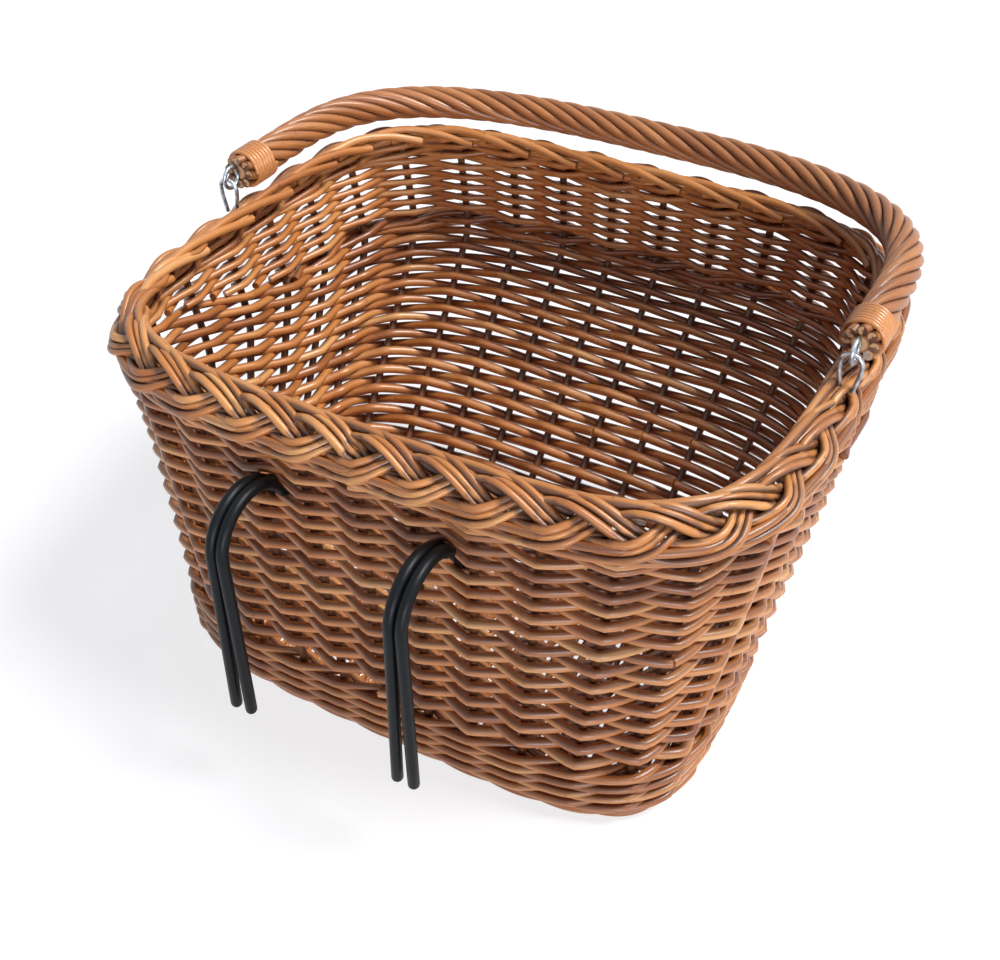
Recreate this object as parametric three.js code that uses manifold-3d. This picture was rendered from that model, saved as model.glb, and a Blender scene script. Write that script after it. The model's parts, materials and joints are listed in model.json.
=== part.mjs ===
// A wicker bicycle basket: willow stakes standing on a foot rod, side weaving wound round the
// stakes, a plaited rim, a twisted carrying handle hung on wire eyes, and two coated steel hooks
// that hang the basket on a handlebar.
// Millimetres, +Z up, +X along the basket, -Y towards the bicycle. The basket stands on z = 0.
import * as THREE from 'three';
import { mergeVertices } from 'three/addons/utils/BufferGeometryUtils.js';
import Module from 'manifold-3d';

const wasm = await Module();
wasm.setup();

// Plan of the basket, measured on the line of the stakes
const RIM_LENGTH = 428;
const RIM_WIDTH = 368;
const BASE_LENGTH = 352;
const PLAIT_HEIGHT = 246; // height of the plait's centre line
const FRONT_LEAN = 16; // the front stakes lean in by this much at the base
const BACK_SLOPE = 62; // the back stakes come in by this much below the bend
const BACK_BEND_DEPTH = 72; // the bend in the back wall, below the plait's centre line
const CORNER_POWER = 4.1; // power of the superellipse: 2 is an ellipse, more is squarer

// Clearances
const SEAT_GAP = 0.3; // between pieces that touch
const WEAVE_GAP = 0.5; // between a stake and the rods woven round it

// Stakes, side weaving, base and foot
const STAKE_COUNT = 33; // odd, so that a wound rod changes sides in each course
const STAKE_DIAMETER = 6;
const WEAVER_DIAMETER = 4.9;
const COURSE_GAP = 1.9; // open gap between two courses
const SIDING_BANDS = 5; // lengths of rod wound one above the other
const FOOT_DIAMETER = 10;
const MAT_THICKNESS = 6;
const MAT_RAISED = 3; // underside of the mat above the ground
const MAT_ROD_WIDTH = 16;

// Plaited rim: three strands, one lobe for each stake
const STRAND_DIAMETER = 9.6;
const PLAIT_SWING = 13.5; // strands swing this far either side of the plait's centre line
const PLAIT_RISE = 7.2; // and this far over and under each other
const PLAIT_OUT = 1; // centre line of the plait outside the line of the stakes
const PLAIT_TILT = THREE.MathUtils.degToRad(30); // the plait's face leans outwards
const PLAIT_PHASE = -0.25; // where in a lobe the strands meet a stake
const PLAIT_STEPS = 9; // steps for each swing of a strand

// Handle
const HANDLE_DIAMETER = 22.5;
const HANDLE_REACH = 208; // from the pivot line to the middle of the grip
const HANDLE_LEG = 52; // straight part of each leg, from its end
const HANDLE_POWER = 2.8; // power of the curve from leg to leg
const HANDLE_RODS = 8;
const HANDLE_TURNS = 5;
const HANDLE_STEPS = 40;
const ROD_GAP = 0.35;

// Lashings on the handle
const LASHING_DIAMETER = 2.2;
const LASHING_PITCH = 2.9;
const LASHING_TURNS = 7;
const LASHING_STEPS = 10; // steps in a turn
const LASHING_FROM_END = 4;

// Wire eyes on the handle and wire loops on the rim
const WIRE_DIAMETER = 2.6;
const LINK_GAP = 0.5;
const EYE_RADIUS = 7; // centre line of the ring
const EYE_SHANK = 18; // length held in the core
const LOOP_STAKE = 8; // the loops stand over this stake, counted either way from the front
const LOOP_GRIP = 4; // the loops' ends reach below the middle of the strand
const LOOP_STEPS = 8;
const RING_STEPS = 16;
const WIRE_SIDES = 6;
const BORE_SIDES = 8;

// Hooks
const HOOK_DIAMETER = 7;
const HOOK_COURSE = 25; // the hooks go through the wall above this course
const HOOK_BAY = 1.5; // middle of their bay, in stakes from the front middle
const HOOK_REACH = 45; // clear width for the handlebar
const HOOK_BEND = 6; // bend radius where a rod goes through the wall
const HOOK_LEG = 124; // straight leg below the arch
const HOOK_TIP_SPREAD = 11; // between the centres of the two tips
const HOOK_INNER_LEG = 30; // straight part inside the basket
const HOOK_INNER_SPREAD = 16;
const HOOK_ARCH_STEPS = 8;
const HOOK_BEND_STEPS = 3;
const HOOK_TURN_STEPS = 6;

const STAKE_RADIUS = STAKE_DIAMETER / 2;
const WEAVER_RADIUS = WEAVER_DIAMETER / 2;
const STRAND_RADIUS = STRAND_DIAMETER / 2;
const WIRE_RADIUS = WIRE_DIAMETER / 2;
const HOOK_RADIUS = HOOK_DIAMETER / 2;
const COURSE_PITCH = WEAVER_DIAMETER + COURSE_GAP;

// Sides of the section of a rod
const ROD_SIDES = 4;
const STAKE_SIDES = 5;
const THICK_ROD_SIDES = 6;

const UP = new THREE.Vector3(0, 0, 1);
const ALONG_Y = new THREE.Vector3(0, 1, 0);

const signedPower = (value, power) => Math.sign(value) * Math.abs(value) ** power;

// Solids: a rod swept along points, and joins and cuts between closed solids

function directionAt(points, index, closed) {
  const count = points.length;
  const direction = new THREE.Vector3();
  if (closed || index > 0) {
    direction.add(points[index].clone().sub(points[(index - 1 + count) % count]).normalize());
  }
  if (closed || index < count - 1) {
    direction.add(points[(index + 1) % count].clone().sub(points[index]).normalize());
  }
  return direction.normalize();
}

// Each reference vector points at the first corner of the section at its point. Without
// references the section is carried along the path with no twist.
function sweep(points, radius, sides, { references = null, closed = false, phase = 0 } = {}) {
  let carried = Array.isArray(references) ? null : references ?? UP;
  const positions = [];
  points.forEach((point, index) => {
    const along = directionAt(points, index, closed);
    const reference = Array.isArray(references) ? references[index] : carried;
    const first = reference.clone().addScaledVector(along, -reference.dot(along)).normalize();
    const second = along.clone().cross(first);
    carried = first;
    for (let side = 0; side < sides; side += 1) {
      const angle = (2 * Math.PI * (side + phase)) / sides;
      const corner = point.clone();
      corner.addScaledVector(first, radius * Math.cos(angle));
      corner.addScaledVector(second, radius * Math.sin(angle));
      positions.push(corner.x, corner.y, corner.z);
    }
  });
  return skin(positions, points.length, sides, closed);
}

function skin(positions, rings, sides, closed) {
  const indices = [];
  const spans = closed ? rings : rings - 1;
  for (let ring = 0; ring < spans; ring += 1) {
    const here = ring * sides;
    const next = ((ring + 1) % rings) * sides;
    for (let side = 0; side < sides; side += 1) {
      const other = (side + 1) % sides;
      indices.push(here + side, here + other, next + other);
      indices.push(here + side, next + other, next + side);
    }
  }
  if (!closed) {
    const last = (rings - 1) * sides;
    for (let side = 1; side < sides - 1; side += 1) {
      indices.push(0, side + 1, side);
      indices.push(last, last + side, last + side + 1);
    }
  }
  const geometry = new THREE.BufferGeometry();
  geometry.setAttribute('position', new THREE.Float32BufferAttribute(positions, 3));
  geometry.setIndex(indices);
  geometry.computeVertexNormals();
  return geometry;
}

function toSolid(geometry) {
  const bare = geometry.clone();
  bare.deleteAttribute('normal');
  bare.deleteAttribute('uv');
  const merged = mergeVertices(bare);
  return new wasm.Manifold(new wasm.Mesh({
    numProp: 3,
    vertProperties: new Float32Array(merged.attributes.position.array),
    triVerts: new Uint32Array(merged.index.array),
  }));
}

function toGeometry(solid) {
  const mesh = solid.getMesh();
  const geometry = new THREE.BufferGeometry();
  geometry.setAttribute('position', new THREE.BufferAttribute(mesh.vertProperties, 3));
  geometry.setIndex(new THREE.BufferAttribute(mesh.triVerts, 1));
  geometry.computeVertexNormals();
  return geometry;
}

// Materials

const willow = (color) => new THREE.MeshStandardMaterial({ color, roughness: 0.55, metalness: 0 });
const STRAND_COLOURS = [0xb9783f, 0xc48549, 0xae6c36];
const SIDING_COLOURS = [0xa9692f, 0xb67439, 0xbd7d42, 0xb2703a, 0xc08247];
const HANDLE_ROD_COLOURS = [0xb8783f, 0xa86a34];
const steelWire = () => new THREE.MeshStandardMaterial({ color: 0xb9bcc0, roughness: 0.3, metalness: 1 });
const coating = () => new THREE.MeshStandardMaterial({ color: 0x15191d, roughness: 0.4, metalness: 0 });

function piece(name, geometry, material) {
  const mesh = new THREE.Mesh(geometry, material);
  mesh.name = name;
  return mesh;
}

// Walls: where a stake's centre line is at a height

function planAt(z) {
  const bend = PLAIT_HEIGHT - BACK_BEND_DEPTH;
  const front = -RIM_WIDTH / 2 + FRONT_LEAN * (1 - z / PLAIT_HEIGHT);
  const back = RIM_WIDTH / 2 - BACK_SLOPE * Math.max(0, 1 - z / bend);
  return {
    halfLength: (BASE_LENGTH + ((RIM_LENGTH - BASE_LENGTH) * z) / PLAIT_HEIGHT) / 2,
    halfWidth: (back - front) / 2,
    middle: (back + front) / 2,
  };
}

function planPoint(plan, angle, inset = 0) {
  const x = (plan.halfLength - inset) * signedPower(Math.cos(angle), 2 / CORNER_POWER);
  const y = (plan.halfWidth - inset) * signedPower(Math.sin(angle), 2 / CORNER_POWER);
  return new THREE.Vector2(x, plan.middle + y);
}

// Angles of evenly spaced places round the rim. Place 0 is the front middle, and the places
// run anticlockwise seen from above, one for each stake.
const ARC_STEPS = 4000;
const rimArc = (() => {
  const plan = planAt(PLAIT_HEIGHT);
  const angles = [];
  const lengths = [];
  let length = 0;
  let previous = null;
  for (let step = 0; step <= ARC_STEPS; step += 1) {
    const angle = -Math.PI / 2 + (2 * Math.PI * step) / ARC_STEPS;
    const point = planPoint(plan, angle);
    length += previous ? point.distanceTo(previous) : 0;
    angles.push(angle);
    lengths.push(length);
    previous = point;
  }
  return { angles, lengths, total: length };
})();

const STAKE_PITCH = rimArc.total / STAKE_COUNT;

function angleOfPlace(place) {
  const turns = place / STAKE_COUNT;
  const target = (turns - Math.floor(turns)) * rimArc.total;
  let low = 0;
  let high = ARC_STEPS;
  while (high - low > 1) {
    const middle = Math.floor((low + high) / 2);
    if (rimArc.lengths[middle] <= target) low = middle;
    else high = middle;
  }
  const span = rimArc.lengths[high] - rimArc.lengths[low];
  const part = (target - rimArc.lengths[low]) / span;
  return rimArc.angles[low] + part * (rimArc.angles[high] - rimArc.angles[low]);
}

function wallAt(place, z) {
  const plan = planAt(z);
  const flat = planPoint(plan, angleOfPlace(place));
  const acrossX = signedPower(flat.x / plan.halfLength, CORNER_POWER - 1) / plan.halfLength;
  const acrossY = signedPower((flat.y - plan.middle) / plan.halfWidth, CORNER_POWER - 1) / plan.halfWidth;
  return {
    point: new THREE.Vector3(flat.x, flat.y, z),
    outward: new THREE.Vector3(acrossX, acrossY, 0).normalize(),
  };
}

// Plaited rim: each strand is a closed loop that swings in and out and over and under

function plaitPoint(strand, place) {
  const { point, outward } = wallAt(place, PLAIT_HEIGHT);
  const swingAngle = (2 * Math.PI * (place + strand + PLAIT_PHASE)) / 3;
  const swing = PLAIT_SWING * Math.sin(swingAngle);
  const rise = PLAIT_RISE * Math.sin(2 * swingAngle);
  const out = PLAIT_OUT + swing * Math.cos(PLAIT_TILT) + rise * Math.sin(PLAIT_TILT);
  const up = -swing * Math.sin(PLAIT_TILT) + rise * Math.cos(PLAIT_TILT);
  return point.addScaledVector(outward, out).addScaledVector(UP, up);
}

const strandPaths = [0, 1, 2].map((strand) => {
  const steps = (STAKE_COUNT / 3) * PLAIT_STEPS;
  return Array.from({ length: steps }, (_, step) => plaitPoint(strand, (3 * step) / PLAIT_STEPS));
});
const plaitHeights = strandPaths.flat().map((point) => point.z);
const PLAIT_TOP = Math.max(...plaitHeights) + STRAND_RADIUS;
const PLAIT_BOTTOM = Math.min(...plaitHeights) - STRAND_RADIUS;

function rimPlait() {
  return strandPaths.map((path, strand) => piece(
    `rim_strand_${strand + 1}`,
    sweep(path, STRAND_RADIUS, ROD_SIDES, { references: path.map(() => UP), closed: true }),
    willow(STRAND_COLOURS[strand]),
  ));
}

// Base: the foot rod is flat above and below, and the mat lies inside it

const FOOT_RADIUS = FOOT_DIAMETER / 2 / Math.cos(Math.PI / 6);
const BASE_STEPS = 42;

function footRod() {
  const path = Array.from({ length: BASE_STEPS }, (_, step) => {
    const place = (STAKE_COUNT * step) / BASE_STEPS;
    return wallAt(place, 0).point.setZ(FOOT_DIAMETER / 2);
  });
  const references = path.map(() => UP);
  const geometry = sweep(path, FOOT_RADIUS, THICK_ROD_SIDES, { references, closed: true, phase: 0.5 });
  return piece('foot_rod', geometry, willow(0xa8672f));
}

function baseMat() {
  const plan = planAt(0);
  const inset = FOOT_RADIUS + SEAT_GAP;
  const rods = Math.ceil(BASE_LENGTH / MAT_ROD_WIDTH);
  const start = (-rods * MAT_ROD_WIDTH) / 2;
  const above = [];
  for (let rod = 0; rod < rods; rod += 1) {
    const left = start + rod * MAT_ROD_WIDTH;
    above.push(new THREE.Vector2(left, MAT_THICKNESS / 4));
    above.push(new THREE.Vector2(left + MAT_ROD_WIDTH / 4, MAT_THICKNESS / 2));
    above.push(new THREE.Vector2(left + (MAT_ROD_WIDTH * 3) / 4, MAT_THICKNESS / 2));
  }
  above.push(new THREE.Vector2(-start, MAT_THICKNESS / 4));
  const below = above.map((point) => new THREE.Vector2(point.x, -point.y)).reverse();
  const depth = 2 * plan.halfWidth;
  const rodsSolid = new THREE.ExtrudeGeometry(new THREE.Shape([...below, ...above]), {
    depth,
    bevelEnabled: false,
  });
  rodsSolid.rotateX(Math.PI / 2);
  rodsSolid.translate(0, plan.middle + depth / 2, MAT_RAISED + MAT_THICKNESS / 2);
  const edge = Array.from({ length: BASE_STEPS }, (_, step) => {
    const angle = angleOfPlace((STAKE_COUNT * step) / BASE_STEPS);
    return planPoint(plan, angle, inset);
  });
  const outline = new THREE.ExtrudeGeometry(new THREE.Shape(edge), {
    depth: MAT_RAISED + 2 * MAT_THICKNESS,
    bevelEnabled: false,
  });
  const mat = toSolid(rodsSolid).intersect(toSolid(outline));
  return piece('base_mat', toGeometry(mat), willow(0xb07238));
}

// Stakes stand on the foot rod and reach up to the plait above them

const SEARCH_STEP = 0.02;

function stakeGeometry(place, top) {
  const bend = PLAIT_HEIGHT - BACK_BEND_DEPTH;
  const lean = wallAt(place, bend).point.sub(wallAt(place, 0).point).normalize();
  const foot = FOOT_DIAMETER + SEAT_GAP + STAKE_RADIUS * Math.hypot(lean.x, lean.y);
  const heights = [foot, bend, top];
  const path = heights.map((z) => wallAt(place, z).point);
  const references = heights.map((z) => wallAt(place, z).outward);
  return sweep(path, STAKE_RADIUS, STAKE_SIDES, { references });
}

function stakeTop(place, plait) {
  let low = PLAIT_BOTTOM - STAKE_DIAMETER;
  let high = PLAIT_HEIGHT;
  while (high - low > SEARCH_STEP) {
    const middle = (low + high) / 2;
    const gap = toSolid(stakeGeometry(place, middle)).minGap(plait, STAKE_DIAMETER);
    if (gap < SEAT_GAP) high = middle;
    else low = middle;
  }
  return low;
}

function stakes(plaitStrands) {
  const solids = plaitStrands.map((strand) => toSolid(strand.geometry));
  const plait = solids.reduce((whole, strand) => whole.add(strand));
  return Array.from({ length: STAKE_COUNT }, (_, place) => {
    const name = `stake_${String(place + 1).padStart(2, '0')}`;
    return piece(name, stakeGeometry(place, stakeTop(place, plait)), willow(0x8c5a30));
  });
}

// Side weaving: a rod wound round the basket, outside one stake and inside the next. Round
// the hooks the courses are pushed apart.

const FIRST_COURSE = FOOT_DIAMETER + SEAT_GAP + WEAVER_RADIUS;
const COURSES = Math.floor((PLAIT_BOTTOM - SEAT_GAP - WEAVER_RADIUS - FIRST_COURSE) / COURSE_PITCH);
const HOOK_LEVEL = FIRST_COURSE + COURSE_PITCH * (HOOK_COURSE + 0.5);
const WEAVE_SLANT = Math.atan((2 * (STAKE_RADIUS + WEAVER_RADIUS + WEAVE_GAP)) / STAKE_PITCH);
const WEAVE_OFFSET = (STAKE_RADIUS + WEAVER_RADIUS + WEAVE_GAP) / Math.cos(WEAVE_SLANT);
const WEAVE_DEPTH = WEAVE_OFFSET + WEAVER_RADIUS;
const HOOK_PAIR = HOOK_DIAMETER + SEAT_GAP;
const PARTED_HALF = (HOOK_PAIR / 2 + HOOK_RADIUS + WEAVER_DIAMETER) / STAKE_PITCH;

function pushedApart(z) {
  const away = Math.abs(z - HOOK_LEVEL);
  const closest = COURSE_PITCH * (0.5 - HOOK_BAY / STAKE_COUNT);
  const clear = HOOK_RADIUS + WEAVER_RADIUS + 2 * SEAT_GAP;
  const squeeze = (WEAVER_DIAMETER + SEAT_GAP) / COURSE_PITCH;
  const reach = (clear - squeeze * closest) / (1 - squeeze);
  if (away > reach) return z;
  return HOOK_LEVEL + Math.sign(z - HOOK_LEVEL) * (clear + (away - closest) * squeeze);
}

function weaverPoint(turn, parted) {
  const height = FIRST_COURSE + (COURSE_PITCH * turn) / STAKE_COUNT;
  const z = parted ? pushedApart(height) : height;
  const stake = Math.floor(turn);
  const side = stake % 2 === 0 ? 1 : -1;
  const { point, outward } = wallAt(turn, z);
  return point.addScaledVector(outward, side * WEAVE_OFFSET * (1 - 2 * (turn - stake)));
}

function siding(band) {
  const first = Math.round((COURSES * band) / SIDING_BANDS) * STAKE_COUNT;
  const last = Math.round((COURSES * (band + 1)) / SIDING_BANDS) * STAKE_COUNT - 1;
  const hookBays = [Math.floor(HOOK_BAY), STAKE_COUNT - Math.ceil(HOOK_BAY)];
  const path = [];
  for (let turn = first; turn <= last; turn += 1) {
    path.push(weaverPoint(turn, false));
    if (turn < last && hookBays.includes(turn % STAKE_COUNT)) {
      path.push(weaverPoint(turn + 0.5 - PARTED_HALF, true));
      path.push(weaverPoint(turn + 0.5 + PARTED_HALF, true));
    }
  }
  const geometry = sweep(path, WEAVER_RADIUS, ROD_SIDES, { references: path.map(() => UP) });
  return piece(`siding_${band + 1}`, geometry, willow(SIDING_COLOURS[band % SIDING_COLOURS.length]));
}

// Hooks: a rod bent as a hairpin. Both legs hang in front of the wall, arch over the handlebar,
// go through the wall side by side and turn down inside the basket, where the rod is closed.

function arc(y, z, radius, from, to, steps) {
  return Array.from({ length: steps + 1 }, (_, step) => {
    const angle = THREE.MathUtils.degToRad(from + ((to - from) * step) / steps);
    return [y + radius * Math.cos(angle), z + radius * Math.sin(angle)];
  });
}

function hook(name, side) {
  const wall = wallAt(side * HOOK_BAY, HOOK_LEVEL).point;
  const spring = HOOK_LEVEL + HOOK_BEND;
  const drop = wall.y - WEAVE_DEPTH - SEAT_GAP - HOOK_RADIUS;
  const leg = wall.y - WEAVE_DEPTH - HOOK_REACH - HOOK_RADIUS;
  const innerEnd = HOOK_LEVEL - HOOK_BEND - HOOK_INNER_LEG;
  const inner = wallAt(side * HOOK_BAY, innerEnd).point.y + WEAVE_DEPTH + SEAT_GAP + HOOK_RADIUS;
  const archRadius = (drop - leg) / 2;
  const half = HOOK_PAIR / 2;
  const place = (x, [y, z]) => new THREE.Vector3(x, y, z);
  const outside = [
    ...arc(leg + archRadius, spring, archRadius, 180, 0, HOOK_ARCH_STEPS),
    ...arc(drop + HOOK_BEND, spring, HOOK_BEND, 180, 270, HOOK_BEND_STEPS).slice(1),
    ...arc(inner - HOOK_BEND, HOOK_LEVEL - HOOK_BEND, HOOK_BEND, 90, 0, HOOK_BEND_STEPS),
  ];
  const turn = Array.from({ length: HOOK_TURN_STEPS + 1 }, (_, step) => {
    const angle = Math.PI * (1 + step / HOOK_TURN_STEPS);
    const x = (HOOK_INNER_SPREAD / 2) * Math.cos(angle);
    return new THREE.Vector3(x, inner, innerEnd + (HOOK_INNER_SPREAD / 2) * Math.sin(angle));
  });
  const tip = [leg, spring - HOOK_LEG];
  const path = [
    place(-HOOK_TIP_SPREAD / 2, tip),
    ...outside.map((point) => place(-half, point)),
    ...turn,
    ...outside.map((point) => place(half, point)).reverse(),
    place(HOOK_TIP_SPREAD / 2, tip),
  ];
  path.forEach((point) => point.setX(point.x + wall.x));
  const references = ALONG_Y.clone().negate();
  return piece(name, sweep(path, HOOK_RADIUS, THICK_ROD_SIDES, { references }), coating());
}

// Rim loops: an upturned U of wire astride the top strand of the plait

const loopSeats = [LOOP_STAKE, -LOOP_STAKE].map((place) => {
  const step = 3 / PLAIT_STEPS;
  const strands = [0, 1, 2].map((strand) => {
    const point = plaitPoint(strand, place);
    const run = plaitPoint(strand, place + step).sub(plaitPoint(strand, place - step));
    return { point, slant: Math.abs(run.x / run.y) };
  });
  return strands.reduce((best, seat) => (seat.point.z > best.point.z ? seat : best));
});
const LASHING_RADIUS = LASHING_DIAMETER / 2;
const LASHING_WIND = (HANDLE_DIAMETER / 2 + SEAT_GAP + LASHING_RADIUS) / Math.cos(Math.PI / LASHING_STEPS);
const PIVOT_Y = loopSeats[0].point.y;
const PIVOT_Z = PLAIT_TOP + SEAT_GAP + LASHING_WIND + LASHING_RADIUS;
const HANDLE_HALF = loopSeats[0].point.x;

function rimLoop(name, { point: seat, slant }) {
  const half = STRAND_RADIUS * Math.hypot(1, slant) + WIRE_RADIUS * (1 + slant) + SEAT_GAP;
  const foot = seat.z - LOOP_GRIP;
  const spring = PIVOT_Z - half;
  const bend = Array.from({ length: LOOP_STEPS + 1 }, (_, step) => {
    const angle = Math.PI * (1 - step / LOOP_STEPS);
    return new THREE.Vector3(half * Math.cos(angle), 0, spring + half * Math.sin(angle));
  });
  const path = [new THREE.Vector3(-half, 0, foot), ...bend, new THREE.Vector3(half, 0, foot)];
  path.forEach((point) => point.add(new THREE.Vector3(seat.x, seat.y, 0)));
  const references = path.map(() => ALONG_Y);
  return piece(name, sweep(path, WIRE_RADIUS, WIRE_SIDES, { references }), steelWire());
}

// Handle, drawn lying back: the pivot line is the X axis and the grip is at +Y

const EYE_CENTRE = EYE_RADIUS - WIRE_DIAMETER - LINK_GAP;
const HANDLE_END = EYE_CENTRE + EYE_RADIUS + WIRE_RADIUS + SEAT_GAP;

class HandleBow extends THREE.Curve {
  getPoint(part, target = new THREE.Vector3()) {
    const angle = Math.PI * (1 - part);
    const start = HANDLE_END + HANDLE_LEG;
    const x = HANDLE_HALF * signedPower(Math.cos(angle), 2 / HANDLE_POWER);
    const y = (HANDLE_REACH - start) * Math.abs(Math.sin(angle)) ** (2 / HANDLE_POWER);
    return target.set(x, start + y, 0);
  }
}

const handleStations = (() => {
  const end = HANDLE_END;
  const start = HANDLE_END + HANDLE_LEG;
  const curve = new THREE.CurvePath();
  curve.add(new THREE.LineCurve3(
    new THREE.Vector3(-HANDLE_HALF, end, 0),
    new THREE.Vector3(-HANDLE_HALF, start, 0),
  ));
  curve.add(new HandleBow());
  curve.add(new THREE.LineCurve3(
    new THREE.Vector3(HANDLE_HALF, start, 0),
    new THREE.Vector3(HANDLE_HALF, end, 0),
  ));
  return Array.from({ length: HANDLE_STEPS + 1 }, (_, step) => curve.getPoint(step / HANDLE_STEPS));
})();

// Eight rods in a ring touch along their slanted sides, with a small gap
const handleLength = handleStations.slice(1).reduce(
  (sum, point, index) => sum + point.distanceTo(handleStations[index]),
  0,
);
const chordShare = Math.cos((Math.PI * HANDLE_TURNS) / HANDLE_STEPS);
const slantShare = Math.cos(Math.atan((Math.PI * HANDLE_DIAMETER * HANDLE_TURNS) / handleLength));
const rodShare = Math.sin(Math.PI / HANDLE_RODS) * chordShare * slantShare;
const ROD_RING = (HANDLE_DIAMETER / 2 + ROD_GAP / 2) / (1 + rodShare);
const ROD_RADIUS = HANDLE_DIAMETER / 2 - ROD_RING;
const CORE_RADIUS = ROD_RING * chordShare - ROD_RADIUS - ROD_GAP;

function handleRod(rod) {
  const references = [];
  const path = handleStations.map((point, step) => {
    const along = directionAt(handleStations, step, false);
    const across = along.clone().cross(UP);
    const angle = 2 * Math.PI * (rod / HANDLE_RODS - (HANDLE_TURNS * step) / HANDLE_STEPS);
    const out = across.multiplyScalar(Math.cos(angle)).addScaledVector(UP, Math.sin(angle));
    references.push(out);
    return point.clone().addScaledVector(out, ROD_RING);
  });
  const color = HANDLE_ROD_COLOURS[rod % HANDLE_ROD_COLOURS.length];
  return piece(`handle_rod_${rod + 1}`, sweep(path, ROD_RADIUS, ROD_SIDES, { references }), willow(color));
}

function handleCore() {
  let core = toSolid(sweep(handleStations, CORE_RADIUS, THICK_ROD_SIDES, { references: UP }));
  for (const side of [-1, 1]) {
    const depth = EYE_SHANK + SEAT_GAP;
    const radius = WIRE_RADIUS + SEAT_GAP;
    const bore = new THREE.CylinderGeometry(radius, radius, 2 * depth, BORE_SIDES);
    bore.translate(side * HANDLE_HALF, HANDLE_END, 0);
    core = core.subtract(toSolid(bore));
  }
  return piece('handle_core', toGeometry(core), willow(0xc79a6a));
}

function handleEye(name, side) {
  const ring = new THREE.TorusGeometry(EYE_RADIUS, WIRE_RADIUS, WIRE_SIDES, RING_STEPS);
  ring.rotateY(Math.PI / 2);
  ring.translate(side * HANDLE_HALF, EYE_CENTRE, 0);
  const from = EYE_CENTRE + EYE_RADIUS;
  const to = HANDLE_END + EYE_SHANK;
  const shank = new THREE.CylinderGeometry(WIRE_RADIUS, WIRE_RADIUS, to - from, WIRE_SIDES);
  shank.translate(side * HANDLE_HALF, (from + to) / 2, 0);
  return piece(name, toGeometry(toSolid(ring).add(toSolid(shank))), steelWire());
}

// Lashing: one length of cane wound round the end of a leg, with straight ends
const lashingPath = (() => {
  const start = HANDLE_END + LASHING_FROM_END;
  const wound = Array.from({ length: LASHING_TURNS * LASHING_STEPS + 1 }, (_, step) => {
    const turn = step / LASHING_STEPS;
    const angle = 2 * Math.PI * turn;
    return new THREE.Vector3(
      LASHING_WIND * Math.cos(angle),
      start + LASHING_PITCH * turn,
      LASHING_WIND * Math.sin(angle),
    );
  });
  const lead = (point, next) => next.clone().sub(point).setLength(-LASHING_DIAMETER).add(point);
  const count = wound.length;
  return [lead(wound[0], wound[1]), ...wound, lead(wound[count - 1], wound[count - 2])];
})();

function leastLashingGap() {
  const points = lashingPath.flatMap((point, index) => {
    const next = lashingPath[Math.min(index + 1, lashingPath.length - 1)];
    return [point, point.clone().lerp(next, 0.5)];
  });
  let least = Infinity;
  points.forEach((point, index) => {
    for (let other = index + LASHING_STEPS; other < points.length; other += 1) {
      least = Math.min(least, point.distanceTo(points[other]));
    }
  });
  return least - LASHING_DIAMETER;
}
console.log(`least gap of a lashing to itself: ${leastLashingGap().toFixed(2)} mm`);

function handleLashing(name, side) {
  const path = lashingPath.map((point) => point.clone().setX(point.x + side * HANDLE_HALF));
  const references = path.map(() => ALONG_Y);
  return piece(name, sweep(path, LASHING_RADIUS, ROD_SIDES, { references }), willow(0xc58b52));
}

const handle = new THREE.Group();
handle.add(handleCore());
for (let rod = 0; rod < HANDLE_RODS; rod += 1) handle.add(handleRod(rod));
handle.add(handleLashing('handle_lashing_left', -1), handleLashing('handle_lashing_right', 1));
handle.add(handleEye('handle_eye_left', -1), handleEye('handle_eye_right', 1));
handle.position.set(0, PIVOT_Y, PIVOT_Z);

const basket = new THREE.Group();
const plaitStrands = rimPlait();
basket.add(footRod(), baseMat(), ...stakes(plaitStrands), ...plaitStrands);
for (let band = 0; band < SIDING_BANDS; band += 1) basket.add(siding(band));
basket.add(hook('hook_left', -1), hook('hook_right', 1));
basket.add(rimLoop('rim_loop_right', loopSeats[0]), rimLoop('rim_loop_left', loopSeats[1]));
basket.add(handle);

// The origin is under the middle of the whole object's footprint
const box = new THREE.Box3().setFromObject(basket);
const centre = box.getCenter(new THREE.Vector3());
basket.position.set(-centre.x, -centre.y, 0);
console.log(`rim centre at y = ${basket.position.y.toFixed(2)} mm`);
const pivot = [PIVOT_Y + basket.position.y, PIVOT_Z].map((value) => value.toFixed(2));
console.log(`handle pivot at y = ${pivot[0]}, z = ${pivot[1]} mm`);

export default basket;
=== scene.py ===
# %% [markdown]
# # A wicker bicycle basket
# The basket is willow: upright stakes, thin rods woven round them, a plaited rim and a twisted
# handle that swings on wire eyes. Two coated steel hooks hang it on a handlebar. Almost every
# piece is a rod that follows a path. Rods could be bent one by one by hand, but then no size could
# be changed afterwards, so this lesson finds the paths with a little arithmetic and lets one
# Geometry Nodes tree turn any set of paths into rods.
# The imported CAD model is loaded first: its bodies carry the pieces that are made here.

import json
import math

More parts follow.
